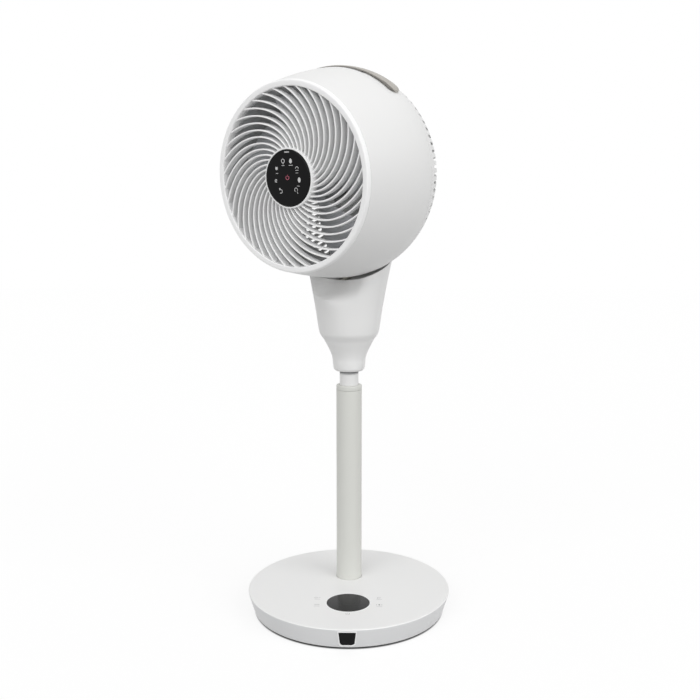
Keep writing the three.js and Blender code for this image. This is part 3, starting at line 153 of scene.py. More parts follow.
def in_head(points):
    """Droops about the tilt axis, then turns with the neck."""
    x, y, z = np.asarray(points, float).T
    c, s = math.cos(HEAD_DROOP), math.sin(HEAD_DROOP)
    return in_neck(np.stack([x, -s * y - c * z - TILT_FORWARD, c * y - s * z + TILT_Z], -1))


# ------------------------------------------------------------------ surfaces


def sheet_faces(rows, columns, wrap_rows=False, wrap_columns=False):
    """Quads of a grid of points numbered row by row."""
    r = np.arange(rows if wrap_rows else rows - 1)[:, None]
    c = np.arange(columns if wrap_columns else columns - 1)[None, :]
    r1, c1 = (r + 1) % rows, (c + 1) % columns
    quads = [r * columns + c, r * columns + c1, r1 * columns + c1, r1 * columns + c]
    return np.stack(quads, -1).reshape(-1, 4)


def rounded(corners, steps=5):
    """A profile with its corners eased: each corner is (r, z, cut) and the cut is bridged by the curve
    (1-t)^2 A + 2t(1-t) P + t^2 B between the points A and B at that distance from the corner P."""
    p = np.array([c[:2] for c in corners], float)
    cuts = [c[2] if len(c) > 2 else 0 for c in corners]
    t = np.linspace(0, 1, steps + 1)[:, None]
    out = []
    for i, cut in enumerate(cuts):
        if cut <= 0 or i in (0, len(p) - 1):
            out.append(p[i : i + 1])
            continue
        a = p[i] + (p[i - 1] - p[i]) * cut / np.linalg.norm(p[i - 1] - p[i])
        b = p[i] + (p[i + 1] - p[i]) * cut / np.linalg.norm(p[i + 1] - p[i])
        out.append((1 - t) ** 2 * a + 2 * t * (1 - t) * p[i] + t**2 * b)
    return np.concatenate(out)


def turned(profile, segments=192):
    """Surface of revolution about Z, (r cos a, r sin a, z). The profile starts and ends on the axis, or it is
    a closed loop."""
    profile = np.asarray(profile, float)
    closed = np.allclose(profile[0], profile[-1])
    if closed:
        profile = profile[:-1]
    a = np.arange(segments) * TAU / segments
    r, z = profile[:, :1], profile[:, 1:]
    points = np.stack([r * np.cos(a), r * np.sin(a), z + 0 * a], -1).reshape(-1, 3)
    return points, sheet_faces(len(profile), segments, wrap_rows=closed, wrap_columns=True)


def lofted(sections):
    """Sections (n, m, 3), each a closed loop, joined in order. The two ends are pinched to their middle."""
    first = np.repeat(sections[:1].mean(1, keepdims=True), sections.shape[1], 1)
    last = np.repeat(sections[-1:].mean(1, keepdims=True), sections.shape[1], 1)
    sections = np.concatenate([first, sections, last])
    n, m, _ = sections.shape
    return sections.reshape(-1, 3), sheet_faces(n, m, wrap_columns=True)


def block(outline, low, high):
    """A flat outline (x, y) raised along Z, with whole faces as its two ends."""
    outline = np.asarray(outline, float)
    n = len(outline)
    points = np.concatenate([np.column_stack([outline, np.full(n, z)]) for z in (low, high)])
    i = np.arange(n)
    sides = np.stack([i, (i + 1) % n, (i + 1) % n + n, i + n], -1).tolist()
    return points, sides + [list(range(n))[::-1], list(range(n, 2 * n))]


def box(low, high):
    (x0, y0, z0), (x1, y1, z1) = low, high
    return block([(x0, y0), (x1, y0), (x1, y1), (x0, y1)], z0, z1)


def sector(inner, outer, middle, half, low, high, steps=24):
    """A block between two radii and two angles about Z."""
    a = np.linspace(middle - half, middle + half, steps + 1)
    arc = np.column_stack([np.cos(a), np.sin(a)])
    return block(np.concatenate([outer * arc, inner * arc[::-1]]), low, high)


def turned_about_z(surface, angle):
    """The surface turned by the angle about Z."""
    points, faces = surface
    x, y, z = points.T
    c, s = math.cos(angle), math.sin(angle)
    return np.stack([c * x - s * y, s * x + c * y, z], -1), faces


def moved(surface, dx, dy, dz):
    return surface[0] + np.array([dx, dy, dz]), surface[1]


def together(surfaces):
    """Several surfaces as one set of points and faces."""
    points, faces, count = [], [], 0
    for p, f in surfaces:
        points.append(p)
        faces += [[k + count for k in face] for face in (f.tolist() if isinstance(f, np.ndarray) else f)]
        count += len(p)
    return np.concatenate(points), faces


def mesh_object(name, surface, place):
    """Welds points that share a place to the micron, drops corners that repeat, and faces the shells
    outwards."""
    points, faces = surface
    spot = place(points)
    microns = np.round(spot * 1e6).astype(np.int64)
    _, first, back = np.unique(microns, axis=0, return_index=True, return_inverse=True)
    back = back.reshape(-1)
    welded = []
    for face in faces.tolist() if isinstance(faces, np.ndarray) else faces:
        corners = [int(back[k]) for k in face]
        corners = [k for i, k in enumerate(corners) if k != corners[i - 1]]
        if len(set(corners)) > 2:
            welded.append(corners)
    mesh = bpy.data.meshes.new(name)
    mesh.from_pydata(spot[first].tolist(), [], welded)
    mesh.validate()
    piece = bpy.data.objects.new(name, mesh)
    bpy.context.scene.collection.objects.link(piece)
    face_outwards(mesh)
    return piece


def face_outwards(mesh):
    """Turns every face to the outside of its own closed shell."""
    work = bmesh.new()
    work.from_mesh(mesh)
    bmesh.ops.recalc_face_normals(work, faces=work.faces)
    work.to_mesh(mesh)
    work.free()


def carve(blank, cutters):
    """Cuts the blank by each cutter and keeps the result as its mesh. The cutters are removed."""
    for cutter in cutters:
        step = blank.modifiers.new("cut", "BOOLEAN")
        step.operation, step.solver, step.object = "DIFFERENCE", "EXACT", cutter
    depsgraph = bpy.context.evaluated_depsgraph_get()
    result = bpy.data.meshes.new_from_object(blank.evaluated_get(depsgraph))
    blank.modifiers.clear()
    old, blank.data = blank.data, result
    bpy.data.meshes.remove(old)
    for cutter in cutters:
        tool_mesh = cutter.data
        bpy.data.objects.remove(cutter)
        bpy.data.meshes.remove(tool_mesh)
    return blank


def finished(piece, material, body, replaces=(), sharp=32):
    """Smooth faces with creases kept, a finish, and the body the piece rides on."""
    mesh = piece.data
    mesh.materials.clear()
    mesh.materials.append(material)
    mesh.shade_smooth()
    mesh.set_sharp_from_angle(angle=math.radians(sharp))
    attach(piece, body)
    if replaces:
        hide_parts(*replaces)
    return piece


def paint_where(thing, material, chosen):
    """Gives a second colour to the faces picked by their centres and normals."""
    mesh = thing.data
    centre, normal = np.empty(len(mesh.polygons) * 3), np.empty(len(mesh.polygons) * 3)
    mesh.polygons.foreach_get("center", centre)
    mesh.polygons.foreach_get("normal", normal)
    mesh.materials.append(material)
    picked = chosen(centre.reshape(-1, 3), normal.reshape(-1, 3))
    mesh.polygons.foreach_set("material_index", picked.astype(np.int32))


def piece(name, surface, place, material, body, slot, replaces=(), sharp=32):
    """A surface made a finished piece in one step."""
    return finished(mesh_object(name, surface, place), material, body, replaces, sharp)


# ------------------------------------------------------------------ finishes


def plain_finish(name, color, roughness, metallic=0.0, grain=0.0, grain_scale=900.0, shade=0.0, coat=0.0,
                 sheen=0.0, specular=0.5):
    """A moulded or painted surface: fine grain in the bump, a faint cloudy change of shade and roughness."""
    material = bpy.data.materials.new(name)
    material.use_nodes = True
    nodes, links = material.node_tree.nodes, material.node_tree.links
    shader = nodes["Principled BSDF"]
    shader.inputs["Metallic"].default_value = metallic
    shader.inputs["Coat Weight"].default_value = coat
    shader.inputs["Coat Roughness"].default_value = 0.06
    shader.inputs["Sheen Weight"].default_value = sheen
    shader.inputs["Specular IOR Level"].default_value = specular
    where = nodes.new("ShaderNodeTexCoord")
    cloud = nodes.new("ShaderNodeTexNoise")
    cloud.inputs["Scale"].default_value = 9.0
    cloud.inputs["Detail"].default_value = 3.0
    links.new(where.outputs["Object"], cloud.inputs["Vector"])
    tone = nodes.new("ShaderNodeMapRange")
    tone.inputs["To Min"].default_value = 1 - shade
    tone.inputs["To Max"].default_value = 1 + shade
    links.new(cloud.outputs["Fac"], tone.inputs["Value"])
    tint = nodes.new("ShaderNodeVectorMath")
    tint.operation = "SCALE"
    tint.inputs[0].default_value = color
    links.new(tone.outputs["Result"], tint.inputs["Scale"])
    links.new(tint.outputs["Vector"], shader.inputs["Base Color"])
    rough = nodes.new("ShaderNodeMapRange")
    rough.inputs["To Min"].default_value = roughness * 0.92
    rough.inputs["To Max"].default_value = roughness * 1.08
    links.new(cloud.outputs["Fac"], rough.inputs["Value"])
    links.new(rough.outputs["Result"], shader.inputs["Roughness"])
    if grain:
        fine = nodes.new("ShaderNodeTexNoise")
        fine.inputs["Scale"].default_value = grain_scale
        fine.inputs["Detail"].default_value = 2.0
        links.new(where.outputs["Object"], fine.inputs["Vector"])
        bump = nodes.new("ShaderNodeBump")
        bump.inputs["Strength"].default_value = grain
        bump.inputs["Distance"].default_value = 0.0002
        links.new(fine.outputs["Fac"], bump.inputs["Height"])
        links.new(bump.outputs["Normal"], shader.inputs["Normal"])
    return material


def brushed_finish(name, color, roughness, axis):
    """Metal with fine lines drawn round the given axis: noise stretched along the surface."""
    material = plain_finish(name, color, roughness, metallic=1.0)
    nodes, links = material.node_tree.nodes, material.node_tree.links
    where = next(n for n in nodes if n.type == "TEX_COORD")
    stretch = nodes.new("ShaderNodeMapping")
    stretch.inputs["Scale"].default_value = [4000 if k == axis else 40 for k in range(3)]
    lines = nodes.new("ShaderNodeTexNoise")
    lines.inputs["Scale"].default_value = 1.0
    bump = nodes.new("ShaderNodeBump")
    bump.inputs["Strength"].default_value = 0.12
    bump.inputs["Distance"].default_value = 0.0001
    links.new(where.outputs["Object"], stretch.inputs["Vector"])
    links.new(stretch.outputs["Vector"], lines.inputs["Vector"])
    links.new(lines.outputs["Fac"], bump.inputs["Height"])
    links.new(bump.outputs["Normal"], nodes["Principled BSDF"].inputs["Normal"])
    return material


shell_white = plain_finish("shell white", (0.815, 0.815, 0.81), 0.46, grain=0.10, shade=0.006)
# The grille is moulded in the shell's white; its lighter colour is painted light on the rim's face and on the
# ribs' sides in their recesses.
grille_white_painted_light = plain_finish("grille white painted light", (0.94, 0.94, 0.94), 0.40, grain=0.06, shade=0.004)
impeller_grey = plain_finish("impeller plastic", (0.56, 0.57, 0.59), 0.42, grain=0.05, shade=0.01)
handle_taupe = plain_finish("handle taupe", (0.43, 0.41, 0.375), 0.62, grain=0.35, grain_scale=1400,
                            shade=0.02, sheen=0.2)
pole_white = plain_finish("pole white paint", (0.645, 0.65, 0.615), 0.42, grain=0.08, grain_scale=500,
                          shade=0.006)
base_white = plain_finish("base white", (0.875, 0.875, 0.87), 0.44, grain=0.10, shade=0.005)
# Painted shade: a darker copy of the base's white for its leaning side, which turns down away from the light.
base_side_painted_shade = plain_finish("base side painted shade", (0.74, 0.745, 0.75), 0.42, grain=0.10, shade=0.006)
tube_white = plain_finish("sliding tube", (0.76, 0.76, 0.755), 0.30, grain=0.04, shade=0.004)
# A darker colour for the strap's faces that face forward.
handle_edge = plain_finish("handle edge", (0.20, 0.19, 0.175), 0.7, grain=0.35, grain_scale=1400, shade=0.03)
# Painted highlight: a pale white for the ring round the display's recess, where the recess's edge catches
# light; the receiver's band uses it too.
pale_trim_painted_highlight = plain_finish("pale trim painted highlight", (0.93, 0.93, 0.93), 0.3, shade=0.002)
black_gloss = plain_finish("black gloss", (0.006, 0.006, 0.0065), 0.16, shade=0.05, coat=0.04, specular=0.08)
display_black = plain_finish("display window", (0.022, 0.022, 0.023), 0.16, shade=0.05, coat=0.03,
                             specular=0.12)
inner_grey = plain_finish("inner grey", (0.52, 0.525, 0.53), 0.55, grain=0.12, shade=0.012)
dark_grey = plain_finish("dark grey", (0.15, 0.152, 0.155), 0.6, grain=0.15, shade=0.02)
rubber_black = plain_finish("rubber black", (0.03, 0.03, 0.03), 0.85, grain=0.4, grain_scale=1600, shade=0.05)
nylon = plain_finish("natural nylon", (0.72, 0.70, 0.63), 0.5, grain=0.1, shade=0.015)
iron = plain_finish("cast iron", (0.10, 0.102, 0.105), 0.7, grain=0.5, grain_scale=700, shade=0.08)
board_green = plain_finish("board green", (0.03, 0.14, 0.06), 0.4, grain=0.1, shade=0.06)
steel = brushed_finish("steel", (0.56, 0.57, 0.58), 0.34, 2)
print_grey = plain_finish("printed grey", (0.42, 0.42, 0.42), 0.5, shade=0.01)
icon_white = plain_finish("icon white", (0.62, 0.62, 0.62), 0.5, shade=0.01)
icon_red = plain_finish("icon red", (0.42, 0.09, 0.14), 0.5, shade=0.01)

FINISHES = {
    "shell_white": shell_white,
    "impeller_plastic": impeller_grey,
    "handle_taupe": handle_taupe,
    "pole_white": pole_white,
    "black_gloss": black_gloss,
    "inner_grey": inner_grey,
    "dark_grey": dark_grey,
    "rubber_black": rubber_black,
    "nylon": nylon,
    "steel": steel,
    "iron": iron,
    "board_green": board_green,
}
for subpart in frame["record"]["subparts"]:
    node = frame["nodes"][subpart["node"]]
    node.data.materials.clear()
    node.data.materials.append(FINISHES[subpart["material_slot"]])


# ------------------------------------------------------------------ base


def cover_radius(z):
    """Radius of the base's leaning side at a height."""
    return BASE_FOOT_R + (BASE_TOP_R - BASE_FOOT_R) * (z - BASE_LOW_Z) / (BASE_TOP_Z - BASE_LOW_Z)


def window_outline(grow, steps=10):
    """The receiver window: a U with straight sides that lean in and rounded lower corners, as (side, up)."""
    top, foot, corner, height = 12.8 + grow, 11 + grow, 6, 24 + grow
    t = np.linspace(0, 1, steps + 1)[:, None]
    a, p, b = np.array([foot, corner]), np.array([foot, -grow]), np.array([foot - corner, -grow])
    bend = (1 - t) ** 2 * a + 2 * t * (1 - t) * p + t**2 * b
    right = np.concatenate([[[top, height]], bend])
    return np.concatenate([right[::-1] * [1, 1], right * [-1, 1]])[::-1]


def band(inner, outer, low, high):
    """A flat closed band between two outlines of equal count, raised along Z."""
    n = len(inner)
    rings = [(inner, low), (outer, low), (outer, high), (inner, high)]
    points = np.concatenate([np.column_stack([line, np.full(n, z)]) for line, z in rings])
    return points, sheet_faces(4, n, wrap_rows=True, wrap_columns=True)


def window_block(grow, deep, proud):
    """The receiver window's outline as a block in the side's slope."""
    return on_slope(block(window_outline(grow), -deep, proud))


def on_slope(surface):
    """Lays a flat form in the slope of the base's front wall."""
    points, faces = surface
    lean = math.pi / 2 + math.atan((BASE_TOP_R - BASE_FOOT_R) / (BASE_TOP_Z - BASE_LOW_Z))
    x, y, z = points.T
    c, s = math.cos(lean), math.sin(lean)
    sill = 7.0
    return np.stack([x, c * y - s * z - cover_radius(sill), s * y + c * z + sill], -1), faces


def build_base():
    """The cover is turned, then opened for the display, the pole, the receiver and the inlet."""
    r = cover_radius
    cover = mesh_object("base_cover_skin", turned(rounded([
        (0, COVER_CEILING), (r(COVER_CEILING) - WALL, COVER_CEILING, 2),
        (r(BASE_LOW_Z) - WALL, BASE_LOW_Z, 0.4), (r(BASE_LOW_Z), BASE_LOW_Z, 0.8),
        (BASE_TOP_R, BASE_TOP_Z, 3.0), (0, BASE_TOP_Z),
    ], 8), 288), in_base)

    def hole(radius, low, bevel, x, y):
        return mesh_object("hole", moved(turned([
            (0, low), (radius, low), (radius, BASE_TOP_Z - bevel), (radius + 2 * bevel, BASE_TOP_Z + bevel),
            (0, BASE_TOP_Z + bevel),
        ], 160), x, y, 0), in_base)

    carve(cover, [
        hole(DISPLAY_R + 0.3, 32.6, 0.5, 0, -DISPLAY_FORWARD),
        hole(DISPLAY_R - 3, 30, 0, 0, -DISPLAY_FORWARD),
        hole(OUTER_POLE_R + 0.3, 30, 0.4, 0, POLE_BACK),
        mesh_object("hole", window_block(0.3, 5, 3), in_base),
        mesh_object("hole", box((-INLET_HALF_WIDTH, r(INLET_SILL) - 14, INLET_LOW),
                                (INLET_HALF_WIDTH, r(INLET_SILL) + 4, INLET_HIGH)), in_base),
    ])
    finished(cover, base_white, "base", ["base_cover"])
    # Painted shade: the faces of the leaning side take the darker copy of the base's white.
    paint_where(cover, base_side_painted_shade, lambda centre, normal: (
        (normal[:, 2] < 0.2) & (np.hypot(centre[:, 0], centre[:, 1]) > SIDE_FROM_R * MM)))
    lens = turned(rounded([(0, 32.9), (DISPLAY_R, 32.9), (DISPLAY_R, 34.7, 0.5), (0, 34.7)]), 160)
    # A pale ring round the display's recess: a painted highlight on the recess's edge.
    trim = turned(rounded([
        (DISPLAY_R + 0.4, 34.5), (DISPLAY_R + 0.4, 35.04, 0.15), (DISPLAY_R + 2.8, 35.04, 0.3),
        (DISPLAY_R + 2.8, 34.5), (DISPLAY_R + 0.4, 34.5),
    ]), 160)
    piece("display_highlight_ring", moved(trim, 0, -DISPLAY_FORWARD, 0), in_base, pale_trim_painted_highlight, "base", "shell_white")
    piece("display_window", moved(lens, 0, -DISPLAY_FORWARD, 0), in_base, display_black, "base", "black_gloss",
          ["display_lens"])
    piece("receiver_window", window_block(0, 2.5, -0.3), in_base, black_gloss, "base", "black_gloss",
          ["ir_window"])
    # A pale band round the receiver window, in the same pale white.
    trim = band(window_outline(0.4), window_outline(2.0), -0.5, 0.15)
    piece("receiver_trim", on_slope(trim), in_base, pale_trim_painted_highlight, "base", "shell_white")
    for i in range(FOOT_COUNT):
        at = i * TAU / FOOT_COUNT - math.pi / 2
        foot = turned(rounded([(0, 2.2), (9, 2.2), (9, 0, 0.6), (7, 0, 0.3), (6.4, 0.5, 0.3), (0, 0.5)]), 48)
        pad = moved(foot, FOOT_CIRCLE_R * math.cos(at), FOOT_CIRCLE_R * math.sin(at), 0)
        piece(f"foot_pad_{i + 1}", pad, in_base, rubber_black, "base", "rubber_black",
              [f"rubber_foot_{i + 1}"])


build_base()

# ------------------------------------------------------------------ pole


def build_pole():
    """Every part is turned about the pole's axis. The height 350 only starts and ends the collar's line."""

    def tube(inner, outer, low, high, ease=0.4):
        return moved(turned(rounded([
            (inner, (low + high) / 2), (inner, low, ease / 2), (outer, low, ease), (outer, high, ease),
            (inner, high, ease / 2), (inner, (low + high) / 2),
        ]), 128), 0, POLE_BACK, 0)
    piece("outer_tube", tube(OUTER_POLE_BORE, OUTER_POLE_R, OUTER_POLE_LOW, OUTER_POLE_TOP), in_base,
          pole_white, "base", "pole_white", ["outer_pole"])
    collar = turned(rounded([
        (COLLAR_BORE, 350), (COLLAR_BORE, COLLAR_LOW, 0.3), (COLLAR_SLEEVE_R, COLLAR_LOW, 0.6),
        (COLLAR_SLEEVE_R, COLLAR_SEAT), (OUTER_POLE_R, COLLAR_SEAT, 0.4), (OUTER_POLE_R, COLLAR_TOP, 2.6),
        (COLLAR_BORE, COLLAR_TOP, 0.5), (COLLAR_BORE, 350),
    ], 8), 128)
    piece("clamp_collar", moved(collar, 0, POLE_BACK, 0), in_base, pole_white, "base", "pole_white",
          ["pole_collar"])
    piece("sliding_tube", tube(INNER_POLE_BORE, INNER_POLE_R, INNER_POLE_LOW, INNER_POLE_TOP), in_base,
          tube_white, "lift", "pole_white", ["inner_pole"])
    # A dark washer under the neck; its dark grey is partly painted shadow for the gap under the neck.
    piece("bearing_washer_shadow", tube(9.3, INNER_POLE_R, 384.7, 387.3, 0.3), in_base, dark_grey, "lift", "dark_grey",
          ["swing_washer"])
    spindle = turned(rounded([
        (0, 348.5), (13.7, 348.5, 0.8), (13.7, 382.8), (INNER_POLE_R, 382.8, 0.3), (INNER_POLE_R, 384.4, 0.3),
        (9, 384.4), (9, 452.2, 0.4), (7, 452.2), (7, 458.5, 0.4), (5, 458.5), (5, 465.3, 0.6), (0, 465.3),
    ]), 96)
    piece("swing_journal", moved(spindle, 0, POLE_BACK, 0), in_base, inner_grey, "lift", "inner_grey",
          ["swing_spindle"])


build_pole()

# ------------------------------------------------------------------ neck


def neck_curve():
    """The neck's profile: a bevelled foot, a waist, then a smooth curve through measured radii."""
    knots = np.array([
        (26.8, 404), (30, 417), (39.8, 437), (48.4, 451), (54.7, 490), (62.2, 532), (86.6, 640),
    ])
    z = np.concatenate([np.linspace(404, 451, 28), np.linspace(453, 640, 46)])
    slope = np.gradient(knots[:, 0], knots[:, 1])
    slope[:4] = 0.05, 0.40, 0.50, 0.24
    i = np.clip(np.searchsorted(knots[:, 1], z) - 1, 0, len(knots) - 2)
    h = knots[i + 1, 1] - knots[i, 1]
    t = (z - knots[i, 1]) / h
    r = ((1 + 2 * t) * (1 - t) ** 2 * knots[i, 0] + t * (1 - t) ** 2 * h * slope[i]
         + t**2 * (3 - 2 * t) * knots[i + 1, 0] + t**2 * (t - 1) * h * slope[i + 1])
    return np.column_stack([r, z])


def scoop_gap(x, y, z):
    """About how far a point is outside the scoop under the head's front, (value - 1) / slope of
    value = |x/a|^3 + |z/c|^3 + (y/b)^2."""
    a, b, c = SCOOP_HALF_WIDTH, SCOOP_REACH, SCOOP_HALF_HEIGHT
    x, y, z = x / a, (y - SCOOP_Y) / b, (z - SCOOP_Z) / c
    value = np.abs(x) ** 3 + np.abs(z) ** 3 + y**2 - 1
    slope = np.sqrt((3 * x**2 / a) ** 2 + (3 * z**2 / c) ** 2 + (2 * y / b) ** 2)
    return value / np.maximum(slope, 0.01)


def neck_shape(inset, low, columns=224):
    """Radius over height and turn: the profile less the scoop, joined by the soft maximum
    k ln(e^(a/k) + e^(b/k)), with k small at the scoop's left lip and wide where it fades out at its right. The
    radius where it is 0 is found by halving."""
    curve = neck_curve()
    if inset:
        curve = curve[curve[:, 1] > low + 3]
        first = np.array([(float(np.interp(low, [390.0, 404.0], [25.0, 26.8])), low)])
        curve = np.concatenate([first, curve]) - [inset, 0]
    else:
        foot = rounded([(0, low), (22.3, low, 0.5), (25.2, low + 3.2, 1.2), (26.6, 400), (26.8, 404)])[1:-1]
        curve = np.concatenate([foot, curve])
    a = np.arange(columns) * TAU / columns
    radius, height = curve[:, :1], curve[:, 1:]
    side, front = np.cos(a)[None, :], np.sin(a)[None, :]
    near, far = np.full((len(curve), columns), 1.0), np.repeat(radius, columns, 1)
    for _ in range(34):
        middle = (near + far) / 2
        x, y = middle * side, middle * front
        fade = np.clip((x + 14) / 52, 0, 1)
        k = 1.6 + 9.5 * fade * fade * (3 - 2 * fade)
        inside = middle - radius
        scooped = inset - scoop_gap(x, y, height)
        top = np.maximum(inside, scooped)
        value = top + k * np.log(np.exp((inside - top) / k) + np.exp((scooped - top) / k))
        near, far = np.where(value < 0, middle, near), np.where(value < 0, far, middle)
    rings = np.stack([near * side, near * front, height + 0 * near], -1)
    ends = [rings[:1] * [0, 0, 1], rings[-1:] * [0, 0, 1]]
    rings = np.concatenate([ends[0], rings, ends[1]])
    return rings.reshape(-1, 3), sheet_faces(len(rings), columns, wrap_columns=True)


def cradle_surface(radius, rows=120, columns=192):
    """The ball's seat: a sphere about the tilt axis."""
    v = np.linspace(0, math.pi, rows + 1)
    profile = np.column_stack([radius * np.sin(v), -radius * np.cos(v)])
    profile[[0, -1], 0] = 0
    return moved(turned(profile, columns), 0, -TILT_FORWARD, TILT_Z)


def build_neck():
    """The neck's skin is hollowed, seated for the ball, opened for the bush and the drive, then cut in two."""

    def made(surface):
        return mesh_object("neck_tool", surface, in_neck)

    body = mesh_object("neck_skin", neck_shape(0, NECK_LOW), in_neck)
    floor_top = NECK_LOW + NECK_FLOOR
    cradle_r = BALL_R + CRADLE_GAP
    hollow = carve(made(neck_shape(WALL, floor_top, 160)), [made(cradle_surface(cradle_r + WALL))])
    carve(body, [made(cradle_surface(cradle_r)), hollow])
    bush = turned([(0, NECK_LOW - 1), (BUSH_R, NECK_LOW - 1), (BUSH_R, floor_top + 1), (0, floor_top + 1)], 96)
    drive_window = box((-SLOT_HALF_WIDTH, DRIVE_FRONT, DRIVE_LOW), (SLOT_HALF_WIDTH, DRIVE_REAR, TILT_Z))
    carve(body, [made(bush), made(drive_window)])
    rear = body.copy()
    rear.data = body.data.copy()
    bpy.context.scene.collection.objects.link(rear)
    reach = 170
    carve(body, [made(box((-reach, -NECK_SEAM, 300), (reach, reach, 800)))])
    carve(rear, [made(box((-reach, -reach, 300), (reach, NECK_SEAM, 800)))])
    body.name, rear.name = "neck_front_skin", "neck_rear_skin"
    finished(body, shell_white, "neck", ["neck_front_shell"])
    finished(rear, shell_white, "neck", ["neck_rear_shell"])


build_neck()

# ------------------------------------------------------------------ head


def head_radius(along):
    """Radius of the head: a drum D - (D - r) u^1.46 drawing in to the rim, joined to the ball behind it by the
    soft minimum -k ln(e^(-a/k) + e^(-b/k)), where taking 160 off both keeps the powers small."""
    along = np.asarray(along, float)
    u = np.maximum(0, (along - DRUM_START) / (RIM_FACE - DRUM_START))
    drum = DRUM_R - (DRUM_R - RIM_R) * u**DRUM_CURVE
    ball = np.sqrt(BALL_R**2 - np.minimum(0, along) ** 2)
    return 160 - SHOULDER * np.log(np.exp((160 - drum) / SHOULDER) + np.exp((160 - ball) / SHOULDER))


def skin(start, end, count, inset=0.0):
    """The head's line from start to end, moved inwards by the inset measured square to the surface."""
    along = np.linspace(start, end, count + 1)
    slope = (head_radius(along + 0.2) - head_radius(along - 0.2)) / 0.4
    return np.column_stack([head_radius(along) - inset * np.hypot(1, slope), along])


def ball(start, hole, inset=0.0, count=56):
    """The rear half's profile: the lesser of the head's own line and a ball eased inwards, R - e sin^2(pi v),
    with v from 0 at the seam to 1 at the hole."""
    turn = np.linspace(math.asin(-start / BALL_R), math.acos(hole / (BALL_R - inset)), count + 1)
    radius = BALL_R - inset - REAR_EASE * np.sin(np.linspace(0, math.pi, count + 1)) ** 2
    line = np.column_stack([radius * np.cos(turn), -BALL_R * np.sin(turn)])
    line[:, 1] = np.where(turn == turn[0], start, -radius * np.sin(turn))
    return np.column_stack([np.minimum(line[:, 0], head_radius(line[:, 1]) - inset), line[:, 1]])


def closed_shell(outside, inside, ease=0.5):
    """An outer and an inner line joined by two eased edges into one closed wall."""
    a, b = outside, inside[::-1]
    edge = rounded([tuple(a[-2]), (*a[-1], ease), (*b[0], ease), tuple(b[1])], 4)[1:-1]
    heel = rounded([tuple(b[-2]), (*b[-1], ease), (*a[0], ease), tuple(a[1])], 4)[1:-1]
    loop = np.concatenate([a[1:-1], edge, b[1:-1], heel])
    return np.concatenate([loop, loop[:1]])


def slot_block():
    """The slot under the head for the tilt drive, as a block about the tilt axis."""
    a = np.linspace(-math.pi / 2 - SLOT_END, -math.pi / 2 - SLOT_START, 49)
    arc = np.column_stack([np.cos(a), np.sin(a)])
    ring = np.concatenate([SLOT_OUTER_R * arc, SLOT_INNER_R * arc[::-1]])
    points, faces = block(ring, -SLOT_HALF_WIDTH, SLOT_HALF_WIDTH)
    x, y, z = points.T
    return np.stack([z, y, x], -1), faces


def well_block():
    """The opening over the finger well."""
    return sector(WELL_FLOOR_R, BALL_R + WALL, math.pi / 2, WELL_HALF_ANGLE, WELL_BACK, WELL_FRONT, 48)


def vent_blocks():
    """The intake slots along the ball, with round ends."""
    half = VENT_HALF_WIDTH
    step = TAU / VENT_COUNT
    low, high = math.sqrt(BALL_R**2 - VENT_BACK**2) - 8, BALL_R + WALL
    t = np.linspace(-math.pi / 2, math.pi / 2, 9)
    front = np.column_stack([half * np.sin(t), VENT_FRONT - half + half * np.cos(t)])
    back = np.column_stack([-half * np.sin(t), VENT_BACK + half - half * np.cos(t)])
    outline = np.concatenate([front, back])
    blocks = []
    for i in range(VENT_COUNT):
        angle = (i + 0.5) * step
        over_slot = math.sin(angle) < 0 and abs(low * math.cos(angle)) < 25
        over_well = abs(angle - math.pi / 2) < WELL_HALF_ANGLE + step
        if over_slot or over_well:
            continue
        points, faces = block(outline, low, high)
        x, y, z = points.T
        blocks.append(turned_about_z((np.stack([z, x, y], -1), faces), angle))
    return together(blocks)


def build_shells():
    """The drum and the rear ball are turned walls, cut for the drive's slot, the well and the vents."""

    def made(surface):
        return mesh_object("head_tool", surface, in_head)

    start, end = SEAM + SEAM_GAP, RIM_BACK - 0.3
    front = mesh_object("front_shell_skin", turned(closed_shell(
        skin(start, end, 60), skin(start, end, 60, WALL)), 288), in_head)
    carve(front, [made(slot_block()), made(well_block())])
    finished(front, shell_white, "head", ["front_shell"])
    rear = mesh_object("rear_shell_skin", turned(closed_shell(
        ball(SEAM - SEAM_GAP, REAR_HOLE_R), ball(SEAM - SEAM_GAP, REAR_HOLE_R, WALL)), 252), in_head)
    carve(rear, [made(slot_block()), made(well_block()), made(vent_blocks())])
    finished(rear, shell_white, "head", ["rear_shell"])
    face = -math.sqrt(BALL_R**2 - REAR_HOLE_R**2) + 1.5
    cap = turned(rounded([
        (0, face), (30, face, 1), (31, face + 0.6, 0.6), (51.4, face + 0.25, 0.8), (51.4, face + 2.6, 0.3),
        (54, face + 3.2, 0.4), (54, face + 6.5, 0.5), (48, face + 6.5, 0.5), (48, face + 2.5, 0.5),
        (0, face + 2.5),
    ]), 160)
    piece("rear_cap_skin", cap, in_head, shell_white, "head", "shell_white", ["rear_cap"])


build_shells()


